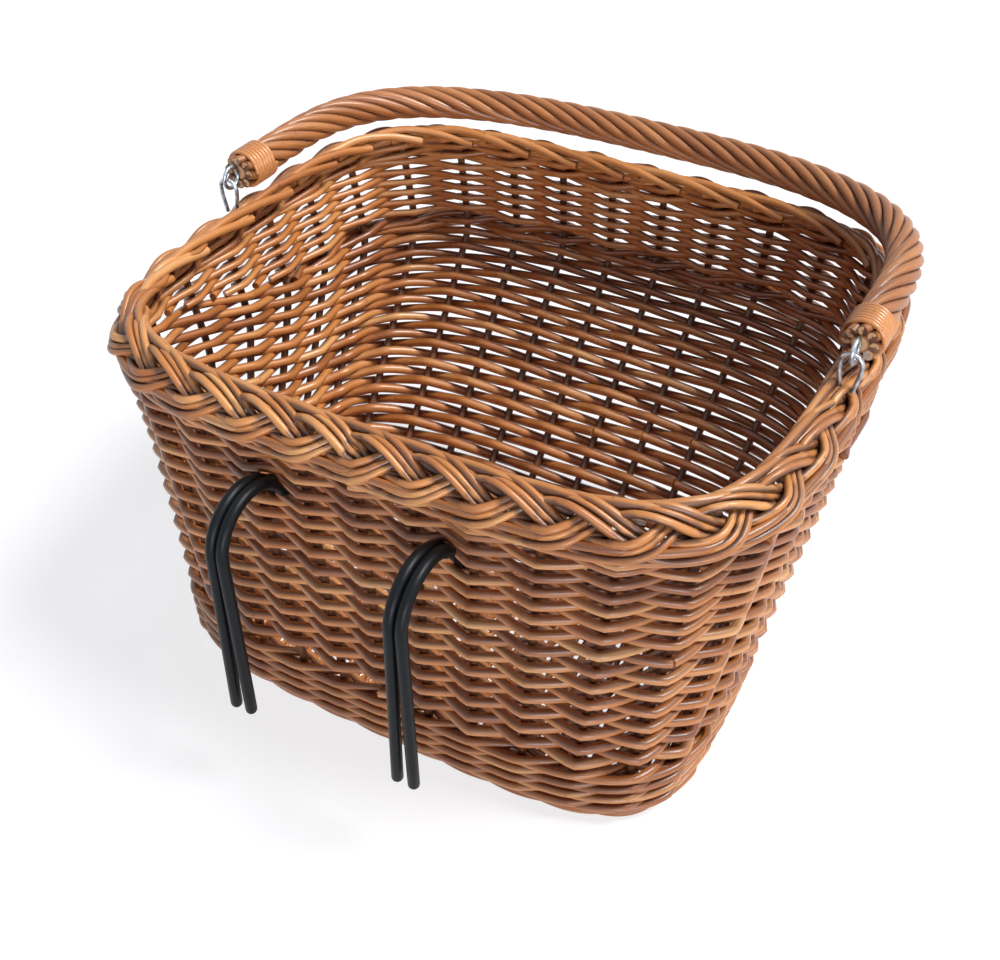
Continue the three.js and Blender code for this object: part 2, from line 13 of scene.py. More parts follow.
import bpy
import numpy as np
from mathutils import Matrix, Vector


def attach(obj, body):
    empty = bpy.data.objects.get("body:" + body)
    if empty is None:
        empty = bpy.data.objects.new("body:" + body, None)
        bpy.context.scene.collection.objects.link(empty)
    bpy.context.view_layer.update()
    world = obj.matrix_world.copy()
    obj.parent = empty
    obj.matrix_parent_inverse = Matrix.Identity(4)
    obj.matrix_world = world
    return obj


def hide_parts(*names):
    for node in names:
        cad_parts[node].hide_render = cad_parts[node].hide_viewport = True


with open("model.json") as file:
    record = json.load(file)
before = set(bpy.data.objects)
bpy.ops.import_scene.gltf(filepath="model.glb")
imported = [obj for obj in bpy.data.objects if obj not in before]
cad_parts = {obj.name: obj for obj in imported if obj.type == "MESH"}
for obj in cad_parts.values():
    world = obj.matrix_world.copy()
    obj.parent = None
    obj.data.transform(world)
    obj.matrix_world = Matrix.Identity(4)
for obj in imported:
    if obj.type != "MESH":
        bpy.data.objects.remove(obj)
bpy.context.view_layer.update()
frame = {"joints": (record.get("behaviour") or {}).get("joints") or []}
MM = 0.001  # paths are worked out in millimetres, meshes are in metres
chance = np.random.default_rng(7)  # a fixed seed, so every run gives the same basket

# %% [markdown]
# ## The camera
# The photograph looks down into the basket from the front right. A camera could be moved by eye
# until the picture fits, but then the sizes would only be as good as the eye. Here its place, its
# angles and its focal length were worked out from the rim, the base and the hooks.

# %% Camera
IMAGE_WIDTH = 1000  # pixels
FOCAL_PIXELS = 1330.3
SENSOR = 36.0  # millimetres
CAMERA_PLACE = (0.3353, -0.6120, 0.6822)  # metres
LOOKS_DOWN, TURNED_LEFT = 39.49, 28.97  # degrees
camera_data = bpy.data.cameras.new("camera")
camera_data.sensor_width = SENSOR
camera_data.lens = FOCAL_PIXELS * SENSOR / IMAGE_WIDTH
camera = bpy.data.objects.new("camera", camera_data)
camera.location = CAMERA_PLACE
camera.rotation_euler = (math.radians(90 - LOOKS_DOWN), 0, math.radians(TURNED_LEFT))
bpy.context.scene.collection.objects.link(camera)
bpy.context.scene.camera = camera
print("lens:", round(camera_data.lens, 2), "mm")

# %% [markdown]
# ## Colours and a helper for nodes
# Colours are written as sRGB hex values, the way a colour picker shows them. Blender's shaders
# work with linear light, so one function converts them. A second small function adds a node,
# sets it and links it, for materials and for Geometry Nodes alike. Nodes could also be placed by
# hand in the editor, but a script can be read, compared and run again.

# %% Colour and node helpers


def linear(hex_colour):
    channels = [int(hex_colour[i:i + 2], 16) / 255 for i in (1, 3, 5)]
    return [c / 12.92 if c <= 0.04045 else ((c + 0.055) / 1.055) ** 2.4 for c in channels] + [1.0]


def add(tree, kind, inputs=None, **settings):
    """Add a node. Each input is a value, or the output socket that it is linked to."""
    node = tree.nodes.new(kind)
    for key, value in settings.items():
        setattr(node, key, value)
    for key, value in (inputs or {}).items():
        if isinstance(value, bpy.types.NodeSocket):
            tree.links.new(value, node.inputs[key])
        else:
            node.inputs[key].default_value = value
    return node


def new_material(name):
    material = bpy.data.materials.new(name)
    material.use_nodes = True
    material.node_tree.nodes.clear()
    return material, material.node_tree


print("middle grey in linear light:", round(linear("#808080")[0], 3))

# %% [markdown]
# ## Varnished willow
# Willow rods are boiled in their bark, which dyes the wood a honey brown, then peeled, woven damp
# and varnished. Each rod has its own tint, fine streaks run along it, small dark specks mark the
# buds, and the varnish gives a soft gloss.
# A picture of wood could be wrapped round the rods, but it would repeat. Instead the rods carry
# attributes: tint, a number for each rod; along, the distance from its end; and section, the
# place on its round outline. A noise that is long along the rod and short round it gives streaks
# that follow every bend. A fourth, shade, is painted shade: it darkens the colour on top of a rod
# outside the wall, in the gaps of the plait and in the grooves of the handle.

# %% Willow material
STREAK_LENGTH = 30 * MM  # a streak runs on for about this far
STREAKS_ROUND = 2.2  # streaks across one rod radius
ROD_SHIFT = 53.0  # moves the streaks on with the tint, so that no two rods look alike
SPECK_SIZE = 5 * MM
PATCH_SIZE = 35.714 * MM  # parts of the basket that took the varnish differently
# Buds are a dark brown; the second brown is what painted shade darkens the colour towards.
BUD_BROWN, PAINTED_SHADE_BROWN = "#4A2C1A", "#2A1B20"


def willow(name, dark, middle, light, roughness=0.42, coat=0.25):
    material, tree = new_material(name)
    tint = add(tree, "ShaderNodeAttribute", attribute_name="tint")
    along = add(tree, "ShaderNodeAttribute", attribute_name="along")
    section = add(tree, "ShaderNodeAttribute", attribute_name="section")
    shade = add(tree, "ShaderNodeAttribute", attribute_name="shade")
    coords = add(tree, "ShaderNodeTexCoord")
    offset = add(tree, "ShaderNodeMath", {0: tint.outputs["Fac"], 1: ROD_SHIFT}, operation="MULTIPLY")
    steps = add(tree, "ShaderNodeMath", {
        0: along.outputs["Fac"], 1: 1 / STREAK_LENGTH, 2: offset.outputs[0]}, operation="MULTIPLY_ADD")
    lengthwise = add(tree, "ShaderNodeCombineXYZ", {2: steps.outputs[0]})
    place = add(tree, "ShaderNodeVectorMath", {
        0: section.outputs["Vector"], 1: lengthwise.outputs[0]}, operation="ADD")
    streak = add(tree, "ShaderNodeTexNoise", {
        "Vector": place.outputs[0], "Scale": STREAKS_ROUND, "Detail": 4.0, "Roughness": 0.6})
    specks = add(tree, "ShaderNodeTexNoise", {
        "Vector": coords.outputs["Object"], "Scale": 1 / SPECK_SIZE, "Detail": 2.0})
    patches = add(tree, "ShaderNodeTexNoise", {
        "Vector": coords.outputs["Object"], "Scale": 1 / PATCH_SIZE, "Detail": 1.0})
    # Tint, streaks and patches are added up and pick a colour between dark and light
    varied = add(tree, "ShaderNodeMath", {
        0: streak.outputs["Fac"], 1: 0.5, 2: tint.outputs["Fac"]}, operation="MULTIPLY_ADD")
    shifted = add(tree, "ShaderNodeMath", {
        0: patches.outputs["Fac"], 1: 0.4, 2: varied.outputs[0]}, operation="MULTIPLY_ADD")
    level = add(tree, "ShaderNodeMath", {0: shifted.outputs[0], 1: 0.45}, operation="SUBTRACT")
    ramp = add(tree, "ShaderNodeValToRGB", {"Fac": level.outputs[0]})
    ramp.color_ramp.elements[0].color = linear(dark)
    ramp.color_ramp.elements[1].color = linear(light)
    ramp.color_ramp.elements.new(0.5).color = linear(middle)
    spotted = add(tree, "ShaderNodeMapRange", {
        "Value": specks.outputs["Fac"], "From Min": 0.68, "From Max": 0.78, "To Min": 0.0, "To Max": 0.55})
    colour = add(tree, "ShaderNodeMix", {
        "Factor": spotted.outputs[0], "A": ramp.outputs[0], "B": linear(BUD_BROWN)}, data_type="RGBA")
    # Painted shade: where the shade attribute is high, the colour is darkened towards a brown-black.
    shade_painted = add(tree, "ShaderNodeMix", {
        "Factor": shade.outputs["Fac"], "A": colour.outputs[2], "B": linear(PAINTED_SHADE_BROWN)}, data_type="RGBA")
    # The streaks are shallow ridges too, and the varnish is duller on them
    gloss = add(tree, "ShaderNodeMapRange", {
        "Value": streak.outputs["Fac"], "To Min": roughness - 0.1, "To Max": roughness + 0.12})
    bump = add(tree, "ShaderNodeBump", {
        "Height": streak.outputs["Fac"], "Strength": 0.35, "Distance": 0.35 * MM})
    shader = add(tree, "ShaderNodeBsdfPrincipled", {
        "Base Color": shade_painted.outputs[2], "Roughness": gloss.outputs[0], "Normal": bump.outputs[0],
        "IOR": 1.5, "Coat Weight": coat, "Coat Roughness": 0.22})
    add(tree, "ShaderNodeOutputMaterial", {"Surface": shader.outputs[0]})
    return material


woven_willow = willow("woven_willow", "#8A4C22", "#C27A3C", "#E2A868", coat=0.35)
# Painted shade: the stakes' browns are darker than the weave's, as they sit in its shade.
stake_willow = willow("stake_willow", "#4F2F1C", "#6E4426", "#8A5A34", coat=0.1)
plait_willow = willow("plait_willow", "#955527", "#C47F40", "#E0A668")
base_willow = willow("base_willow", "#84491F", "#AF6C34", "#CB8D50")
handle_willow = willow("handle_willow", "#7F4722", "#AE6D38", "#D0935A")
# Split cane is the glossy outer skin of rattan: paler than willow, and smoother
cane = willow("cane", "#A5622C", "#C98548", "#DDA36A", roughness=0.34, coat=0.4)
print("nodes in a willow finish:", len(woven_willow.node_tree.nodes))

# %% [markdown]
# ## Cut willow
# A rod that is cut off square shows pale, dull wood round a dark pith, and a thin dark bark. The
# rings could be modelled, but they are flat, so a colour ramp draws them from the attribute
# radial: 0 in the middle of the end and 1 at its edge. A fine noise makes the rings uneven.

# %% Cut willow material
FIBRE_SIZE = 1.1111 * MM
cut_willow, tree = new_material("cut_willow")
radial = add(tree, "ShaderNodeAttribute", attribute_name="radial")
coords = add(tree, "ShaderNodeTexCoord")
fibres = add(tree, "ShaderNodeTexNoise", {
    "Vector": coords.outputs["Object"], "Scale": 1 / FIBRE_SIZE, "Detail": 3.0})
rings = add(tree, "ShaderNodeMath", {
    0: fibres.outputs["Fac"], 1: 0.25, 2: radial.outputs["Fac"]}, operation="MULTIPLY_ADD")
ramp = add(tree, "ShaderNodeValToRGB", {"Fac": rings.outputs[0]})
ramp.color_ramp.elements[0].position = 0.2
ramp.color_ramp.elements[0].color = linear("#6B4426")
ramp.color_ramp.elements[1].position = 1.0
ramp.color_ramp.elements[1].color = linear("#9C6A3C")
ramp.color_ramp.elements.new(0.32).color = linear("#C99A68")
ramp.color_ramp.elements.new(0.85).color = linear("#D6AC7C")
shader = add(tree, "ShaderNodeBsdfPrincipled", {"Base Color": ramp.outputs[0], "Roughness": 0.7})
add(tree, "ShaderNodeOutputMaterial", {"Surface": shader.outputs[0]})
print("colours in the rings:", len(ramp.color_ramp.elements))

# %% [markdown]
# ## Galvanised wire
# Galvanised wire is steel drawn thin and dipped in zinc: a bluish grey metal with a slightly
# mottled gloss. One grey would do from far off. A noise that changes both colour and roughness
# gives the broken highlights that tell zinc from chrome.

# %% Galvanised wire material
MOTTLE_SIZE = 2.5 * MM
galvanised_wire, tree = new_material("galvanised_wire")
coords = add(tree, "ShaderNodeTexCoord")
mottle = add(tree, "ShaderNodeTexNoise", {
    "Vector": coords.outputs["Object"], "Scale": 1 / MOTTLE_SIZE, "Detail": 3.0})
ramp = add(tree, "ShaderNodeValToRGB", {"Fac": mottle.outputs["Fac"]})
ramp.color_ramp.elements[0].position = 0.35
ramp.color_ramp.elements[0].color = linear("#8B939C")
ramp.color_ramp.elements[1].position = 0.7
ramp.color_ramp.elements[1].color = linear("#C9D0D8")
gloss = add(tree, "ShaderNodeMapRange", {"Value": mottle.outputs["Fac"], "To Min": 0.18, "To Max": 0.42})
shader = add(tree, "ShaderNodeBsdfPrincipled", {
    "Base Color": ramp.outputs[0], "Metallic": 1.0, "Roughness": gloss.outputs[0]})
add(tree, "ShaderNodeOutputMaterial", {"Surface": shader.outputs[0]})
print("mottle of the zinc:", round(MOTTLE_SIZE / MM, 2), "mm")

# %% [markdown]
# ## Coated steel
# The hooks are steel rods dipped in black plastic, which is smooth, soft-edged and shows broad,
# dull reflections. A plain black would look like a hole in the picture, so a slow ripple, as the
# plastic has where it ran before it set, moves the highlights a little.

# %% Hook coating material
RIPPLE_SIZE = 6.25 * MM
hook_coating, tree = new_material("hook_coating")
coords = add(tree, "ShaderNodeTexCoord")
ripple = add(tree, "ShaderNodeTexNoise", {
    "Vector": coords.outputs["Object"], "Scale": 1 / RIPPLE_SIZE, "Detail": 3.0})
ramp = add(tree, "ShaderNodeValToRGB", {"Fac": ripple.outputs["Fac"]})
ramp.color_ramp.elements[0].color = linear("#050709")
ramp.color_ramp.elements[1].color = linear("#0D1216")
bump = add(tree, "ShaderNodeBump", {
    "Height": ripple.outputs["Fac"], "Strength": 0.2, "Distance": 0.3 * MM})
gloss = add(tree, "ShaderNodeMapRange", {"Value": ripple.outputs["Fac"], "To Min": 0.32, "To Max": 0.48})
shader = add(tree, "ShaderNodeBsdfPrincipled", {
    "Base Color": ramp.outputs[0], "Roughness": gloss.outputs[0], "Normal": bump.outputs[0],
    "IOR": 1.45, "Specular IOR Level": 0.22})
add(tree, "ShaderNodeOutputMaterial", {"Surface": shader.outputs[0]})
print("ripple of the coating:", round(RIPPLE_SIZE / MM, 2), "mm")

# %% [markdown]
# ## A tree that turns paths into rods
# Every woven thing here is a rod along a path. A bevelled curve object could make one rod, but a
# curve keeps no attributes for the material, so one Geometry Nodes tree makes them all. Its input
# is a mesh of bare edges. Each edge path becomes a curve, an attribute on its points gives the
# thickness, and a circle is swept along it. The tree also stores the attributes that the willow
# material reads, and ends in Realize Instances and Set Material.

# %% The rod tree


def new_tree(name, sockets):
    tree = bpy.data.node_groups.new(name, "GeometryNodeTree")
    tree.interface.new_socket("Geometry", in_out="INPUT", socket_type="NodeSocketGeometry")
    for label, kind in sockets:
        tree.interface.new_socket(label, in_out="INPUT", socket_type=kind)
    tree.interface.new_socket("Geometry", in_out="OUTPUT", socket_type="NodeSocketGeometry")
    return tree, add(tree, "NodeGroupInput")


TREE_INPUTS = [("Sides", "NodeSocketInt"), ("Material", "NodeSocketMaterial")]
rod_tree, given = new_tree("rods_on_paths", TREE_INPUTS)
thickness = add(rod_tree, "GeometryNodeInputNamedAttribute", {"Name": "thickness"}, data_type="FLOAT")
paths = add(rod_tree, "GeometryNodeMeshToCurve", {"Mesh": given.outputs["Geometry"]})
measure = add(rod_tree, "GeometryNodeSplineParameter")
measured = add(rod_tree, "GeometryNodeStoreNamedAttribute", {
    "Geometry": paths.outputs[0], "Name": "along", "Value": measure.outputs["Length"]},
    data_type="FLOAT", domain="POINT")
outline = add(rod_tree, "GeometryNodeCurvePrimitiveCircle", {
    "Resolution": given.outputs["Sides"], "Radius": 1.0}, mode="RADIUS")
where = add(rod_tree, "GeometryNodeInputPosition")
marked = add(rod_tree, "GeometryNodeStoreNamedAttribute", {
    "Geometry": outline.outputs[0], "Name": "section", "Value": where.outputs[0]},
    data_type="FLOAT_VECTOR", domain="POINT")
swept = add(rod_tree, "GeometryNodeCurveToMesh", {
    "Curve": measured.outputs[0], "Profile Curve": marked.outputs[0],
    "Scale": thickness.outputs["Attribute"], "Fill Caps": True})
smooth = add(rod_tree, "GeometryNodeSetShadeSmooth", {0: swept.outputs[0]})
real = add(rod_tree, "GeometryNodeRealizeInstances", {0: smooth.outputs[0]})
finished = add(rod_tree, "GeometryNodeSetMaterial", {
    "Geometry": real.outputs[0], "Material": given.outputs["Material"]})
add(rod_tree, "NodeGroupOutput", {0: finished.outputs[0]})
print("nodes in the rod tree:", len(rod_tree.nodes))

# %% [markdown]
# ## From numbers to a piece
# These helpers put paths into a mesh of edges, run a tree on it and keep the result as a plain
# mesh, because an export would drop what a live modifier makes. Each finished piece then rides on
# its CAD body and stands for the CAD nodes that it shows in more detail.

# %% Piece helpers


def socket_id(tree, label):
    return next(s.identifier for s in tree.interface.items_tree if s.name == label and s.in_out == "INPUT")


def run_tree(piece, tree, values):
    """Run a tree on a piece and keep the result as a plain mesh."""
    modifier = piece.modifiers.new("nodes", "NODES")
    modifier.node_group = tree
    for label, value in values.items():
        modifier[socket_id(tree, label)] = value
    depsgraph = bpy.context.evaluated_depsgraph_get()
    mesh = bpy.data.meshes.new_from_object(piece.evaluated_get(depsgraph), depsgraph=depsgraph)
    piece.modifiers.clear()
    piece.data = mesh
    mesh.name = piece.name


def points_piece(name, points, edges, attributes):
    """A mesh of points in millimetres and edges, with attributes on its points."""
    mesh = bpy.data.meshes.new(name)
    mesh.from_pydata((np.asarray(points) * MM).tolist(), edges, [])
    for label, (kind, values) in attributes.items():
        attribute = mesh.attributes.new(label, kind, "POINT")
        key = "vector" if kind == "FLOAT_VECTOR" else "value"
        attribute.data.foreach_set(key, np.asarray(values, dtype=np.float32).ravel())
    piece = bpy.data.objects.new(name, mesh)
    bpy.context.scene.collection.objects.link(piece)
    return piece


def place_piece(piece, body, nodes):
    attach(piece, body)
    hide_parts(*nodes)
    print(piece.name, "faces:", len(piece.data.polygons))
    return piece


def rods(name, lines, material, sides, body, nodes):
    """lines holds (points in mm, radius in mm, tint, closed), one for each rod."""
    points, radii, tints, edges = [], [], [], []
    first = 0
    for path, radius, tint, closed in lines:
        count = len(path)
        points.append(path)
        radii.append(np.broadcast_to(radius, count))
        tints.append(np.broadcast_to(tint, count))
        edges += [(first + i, first + i + 1) for i in range(count - 1)]
        if closed:
            edges.append((first + count - 1, first))
        first += count
    piece = points_piece(name, np.concatenate(points), edges, {
        "thickness": ("FLOAT", np.concatenate(radii) * MM), "tint": ("FLOAT", np.concatenate(tints))})
    run_tree(piece, rod_tree, {"Sides": sides, "Material": material})
    return place_piece(piece, body, nodes)


# %% [markdown]
# ## The shape of the walls
# Seen from above the basket is a rounded rectangle. It could be drawn with lines and arcs, but a
# superellipse is one formula with one number for its corners. The front and the short sides lean
# outwards a little. The back wall slopes up from a base that is much less deep than the rim, and
# then stands upright. A place on the wall is counted in stakes from the front middle, so place
# 1.5 is the middle of a bay between two stakes.

# %% Wall arithmetic
RIM_LENGTH, RIM_WIDTH, BASE_LENGTH = 428, 368, 352
PLAIT_HEIGHT = 246  # height of the plait's middle line
FRONT_LEAN, BACK_SLOPE = 16, 178  # how far the base lies inside the rim, in front and at the back
BACK_BEND = 174  # height where the back wall turns upright
CORNER_POWER = 4.1  # 2 is an ellipse, more is squarer
BACK_CURVE = 1.08  # 1 is a sharp bend, more is a softer one
RIM_CENTRE_Y = 15.93  # the hooks stand out in front, so the rim's middle lies behind the origin
UP = np.array([0.0, 0.0, 1.0])


def signed_power(value, power):
    return np.sign(value) * np.abs(value) ** power


def plan(z):
    """Half length, half width and middle of the wall's outline at a height."""
    front = -RIM_WIDTH / 2 + FRONT_LEAN * (1 - z / PLAIT_HEIGHT)
    back = RIM_WIDTH / 2 - BACK_SLOPE * np.maximum(0, 1 - z / BACK_BEND) ** BACK_CURVE
    half_length = (BASE_LENGTH + (RIM_LENGTH - BASE_LENGTH) * z / PLAIT_HEIGHT) / 2
    return half_length, (back - front) / 2, (back + front) / 2


def plan_point(z, angle):
    half_length, half_width, middle = plan(z)
    power = 2 / CORNER_POWER
    x = half_length * signed_power(np.cos(angle), power)
    return x, middle + half_width * signed_power(np.sin(angle), power)


half_length, half_width, middle = plan(0.0)
print("depth of the base:", round(2 * half_width), "mm, of the rim:", RIM_WIDTH, "mm")

# %% [markdown]
# ## Places on the wall
# Equal steps of the angle would crowd the points in the corners of a superellipse, so places are
# measured along the rim instead. The makers set the stakes a little closer on the long walls, and
# closest in front. Rods have to lie square to a wall that leans, so a second function tilts the
# outward directions with it.

# %% Places on the wall
STAKES = 33
CLOSER_LONG, CLOSER_FRONT = 0.09, 0.045  # how much closer stakes stand on the long walls, and in front
arc_angles = -math.pi / 2 + np.linspace(0, 2 * math.pi, 8001)
rim_x, rim_y = plan_point(PLAIT_HEIGHT, arc_angles)
arc_lengths = np.concatenate([[0], np.cumsum(np.hypot(np.diff(rim_x), np.diff(rim_y)))])
STAKE_PITCH = arc_lengths[-1] / STAKES


def wall(place, z):
    """Points on the line of the stakes and the level outward directions there."""
    place, z = np.broadcast_arrays(np.asarray(place, float), np.asarray(z, float))
    turn = 2 * math.pi * place / STAKES
    shift = CLOSER_LONG / 2 * np.sin(2 * turn) + CLOSER_FRONT * np.sin(turn)
    spaced = np.mod(place - shift * STAKES / (2 * math.pi), STAKES)
    angle = np.interp(spaced * STAKE_PITCH, arc_lengths, arc_angles)
    x, y = plan_point(z, angle)
    half_length, half_width, middle = plan(z)
    power = CORNER_POWER - 1
    across = np.stack([signed_power(x / half_length, power) / half_length,
                       signed_power((y - middle) / half_width, power) / half_width,
                       np.zeros_like(x)], axis=-1)
    outward = across / np.linalg.norm(across, axis=-1, keepdims=True)
    return np.stack([x, y + RIM_CENTRE_Y, z], axis=-1), outward


def leaning_wall(place, z):
    """As wall(), but the directions stand square to the wall, which leans."""
    point, outward = wall(place, z)
    lean = np.sum((wall(place, z + 1.0)[0] - point) * outward, axis=-1, keepdims=True)
    return point, (outward - UP * lean) / np.sqrt(1 + lean ** 2)


print("stake spacing at the rim:", round(STAKE_PITCH, 2), "mm")

# %% [markdown]
# ## Stakes
# The stakes are the thickest rods in the wall. They stand on the base and run up into the rim.
# They could be straight cylinders, but those at the back bend where the wall turns upright, so
# they are rods on paths too. Their colours are darker than the weave's as painted shade, for they
# sit in its shade, and their gloss is weaker, for they were not varnished all round.

# %% Stakes
STAKE_RADIUS = 2.8
STAKE_FOOT, STAKE_TOP = 6, PLAIT_HEIGHT - 2
slope_heights = np.linspace(STAKE_FOOT, BACK_BEND - 12, 5)
upright_heights = np.linspace(BACK_BEND - 6, STAKE_TOP, 8)
heights = np.concatenate([slope_heights, upright_heights])
stake_lines = []
for stake in range(STAKES):
    path, _ = wall(stake, heights)
    stake_lines.append((path, STAKE_RADIUS * chance.uniform(0.94, 1.05), chance.uniform(0.1, 0.6), False))
rods("stakes", stake_lines, stake_willow, 10, "basket",
     [f"stake_{n:02d}" for n in range(1, STAKES + 1)])

# %% [markdown]
# ## The run of the courses
# A course is one round of a rod. In front the courses lie level. At the back the wall slopes, and
# since a rod is as thick there as in front, the same number of courses reaches less high: they
# dip along the short sides, as the photograph shows. Level rings would be simpler, but then the
# weave would look drawn on. Rods get thinner towards the rim. Round the hooks they are pushed
# apart.

# %% Courses
COURSES = 27
FRONT_COURSES, FRONT_HEIGHTS = [0, 16, 27], [53.0, 168.2, 229.0]
BACK_LOW, BACK_HIGH = 38.0, 175.5  # heights of the first and the last course at the back
BACK_TIGHTER = 0.16  # how much closer the courses get towards the bend
WEAVER_RADIUS, WEAVER_THINNER = 3.3, 0.7  # radius at the base, and what it loses up to the rim
BACK_RADIUS, BACK_THINNER = 3.85, 0.85  # the same at the back, where courses are pressed less
SIDE_START, SIDE_END = 4.5, 10.5  # between these places the courses dip
HOOK_PLACE, HOOK_OPENING = 1.62, 200.0  # where a hook goes through the wall
HOOK_PUSH, PUSH_WIDTH, PUSH_HEIGHT = 5.12, 15, 11  # how far it parts the courses, and how far off


def ease(value, low, high):
    """0 below low, 1 above high, and a soft change between."""
    part = np.clip((value - low) / (high - low), 0, 1)
    return part * part * (3 - 2 * part)


def back_share(place):
    """0 along the front, 1 along the back, with a soft change on the short sides."""
    distance = STAKES / 2 - np.abs(np.mod(place, STAKES) - STAKES / 2)
    return ease(distance, SIDE_START, SIDE_END)


def courses(turns):
    """Height and radius of the wound rods after so many stakes."""
    share, part = back_share(turns), turns / STAKES / COURSES
    front = np.interp(turns / STAKES, FRONT_COURSES, FRONT_HEIGHTS)
    back = BACK_LOW + (BACK_HIGH - BACK_LOW) * part * (1 + BACK_TIGHTER * (1 - part))
    front_radius = WEAVER_RADIUS - WEAVER_THINNER * part
    back_radius = BACK_RADIUS - BACK_THINNER * part
    return front + (back - front) * share, front_radius + (back_radius - front_radius) * share


def parted(place, z):
    """Heights moved away from the hooks."""
    for centre in (HOOK_PLACE, STAKES - HOOK_PLACE):
        across = (np.mod(place - centre + STAKES / 2, STAKES) - STAKES / 2) * STAKE_PITCH
        above = z - HOOK_OPENING
        share = np.exp(-(across / PUSH_WIDTH) ** 2) * np.exp(-np.abs(above) / PUSH_HEIGHT)
        z = z + np.sign(above) * share * HOOK_PUSH
    return z


print("last course in front:", courses(COURSES * STAKES)[0], "mm high, at the back:", BACK_HIGH, "mm")

# %% [markdown]
# ## Randing
# Most of the wall is randing: single rods that pass outside one stake and inside the next. The
# number of stakes is odd, so one rod wound round and round changes sides in every course, and one
# long helix makes the whole wall. The rods bend mostly at the stakes, so the path is a triangle
# wave with its corners rounded off; a sine would bend too evenly. A real rod is thick at its butt
# and thin at its tip and lasts about one round, so the helix is cut into such lengths.

# %% Randing
WEAVE_GAP = 0.2
WEAVE_OFFSET = STAKE_RADIUS + WEAVER_RADIUS + WEAVE_GAP
BAY_STEPS = 8  # points between two stakes
SHORTEST, LONGEST = 27, 36  # a rod lasts for so many stakes
WAVER = 0.35  # how far a rod strays up and down


def triangle_wave(turns, roundness=0.993):
    return np.arcsin(roundness * np.cos(math.pi * turns)) / math.asin(roundness)


weave_lines, turn = [], 0.0
while turn < COURSES * STAKES - 1:
    span = min(int(chance.integers(SHORTEST, LONGEST)), COURSES * STAKES - turn)
    turns = turn + np.arange(0, span * BAY_STEPS + 1) / BAY_STEPS
    z, radius = courses(turns)
    z = z + WAVER * np.sin(turns * 0.9 + turn)
    point, outward = leaning_wall(turns, parted(turns, z))
    path = point + outward * (WEAVE_OFFSET * triangle_wave(turns))[:, None]
    tint = np.clip(chance.normal(0.5, 0.17), 0.05, 0.95)
    taper = np.linspace(1.02, 0.96, len(turns)) * chance.uniform(0.97, 1.03)
    weave_lines.append((path, radius * taper, tint, False))
    turn += span
print("rods in the randing:", len(weave_lines))

# %% [markdown]
# ## Packing
# The last course reaches only up to the bend of the back wall. Thinner rods fill the wall from
# there up to the rim: each one starts on a short side, where there is just room for it, runs
# along the back and ends on the other side. Each row is level, so it is enough to ask at which
# places the randing below leaves room for it.

# %% Packing
PACKING_ROWS, PACKING_PITCH = 11, 4.1
PACKING_HIGH = 228.5  # height of the top row
PACKING_RADIUS = 2.55
PACKING_ROOM = 0.95  # of the pitch: less room than this ends a row
places = np.arange(0, STAKES * BAY_STEPS + 1) / BAY_STEPS
last_course = courses((COURSES - 1) * STAKES + places)[0]
for row in range(PACKING_ROWS):
    level = PACKING_HIGH - PACKING_PITCH * row
    turns = places[level - last_course > PACKING_ROOM * PACKING_PITCH]
    point, outward = leaning_wall(turns, np.full_like(turns, level))
    path = point + outward * (WEAVE_OFFSET * triangle_wave(turns + row))[:, None]
    weave_lines.append((path, PACKING_RADIUS, chance.uniform(0.3, 0.7), False))
print("rods with the packing:", len(weave_lines))

# %% [markdown]
# ## Waling
# At the base and under the rim the wall is bound by waling: three rods, each passing outside two
# stakes and inside one, a stake apart. The strokes overlap like a rope, and each one starts under
# the stroke before it and ends over the next. A simple wave can't do that, so a few key values
# give the way in and out and up and down, and are eased. One more band runs along the back, at
# its bend.

# %% Waling
WALE_RODS = 3
WALE_KEYS = np.array([-0.5, 0.0, 0.5, 1.0, 1.5, 2.0, 2.5])  # in stakes
WALE_OUT = np.array([-5.4, 0.2, 5.5, 6.9, 8.2, 2.6, -5.4])
WALE_RISE = np.array([0.2, -2.3, -1.9, 0.0, 1.9, 2.5, 0.2])
BASE_WALES, BASE_WALE_RADIUS, BASE_DIP = (14, 23.5, 33, 42.5), 2.65, 0.25
# The band at the bend gets the darkest tint, as painted shade.
BEND_WALE_LIFT, BEND_WALE_RADIUS, BEND_WALE_PAINTED_SHADE = 5.0, 2.75, 0.05
BEND_WALE_FIRST, BEND_WALE_LAST = 9, 24  # the stakes where it starts and ends
RIM_WALES = ((233, 2.5), (240, 2.4))  # height and radius


def smooth_keys(position, keys, values):
    """A periodic curve through key values, eased between them."""
    fine = np.linspace(keys[0], keys[-1], 241)
    rough = np.interp(fine, keys, values)
    kernel = np.hanning(25)
    wide = np.concatenate([rough[:-1]] * 3)
    eased = np.convolve(wide, kernel / kernel.sum(), mode="same")[len(rough) - 1:2 * (len(rough) - 1) + 1]
    period = keys[-1] - keys[0]
    return np.interp(np.mod(position - keys[0], period) + keys[0], fine, eased)


def waling(height, thickness, tint=0.45, first=0, last=STAKES, dip=0.0):
    """dip is the share of its height that a band is lower at the back."""
    lines = []
    for weaver in range(WALE_RODS):
        turns = first + np.arange(0, (last - first) * BAY_STEPS) / BAY_STEPS
        phase = turns + weaver + 0.5
        z = height * (1 - dip * back_share(turns)) + smooth_keys(phase, WALE_KEYS, WALE_RISE)
        point, outward = leaning_wall(turns, parted(turns, z))
        path = point + outward * smooth_keys(phase, WALE_KEYS, WALE_OUT)[:, None]
        tints = chance.normal(tint, 0.16, STAKES // WALE_RODS).clip(0.02, 0.95)
        stretch = np.floor((phase + 0.5) / WALE_RODS).astype(int) % (STAKES // WALE_RODS)
        radius = thickness * chance.uniform(0.96, 1.04)
        lines.append((path, radius, tints[stretch], last - first == STAKES))
    return lines


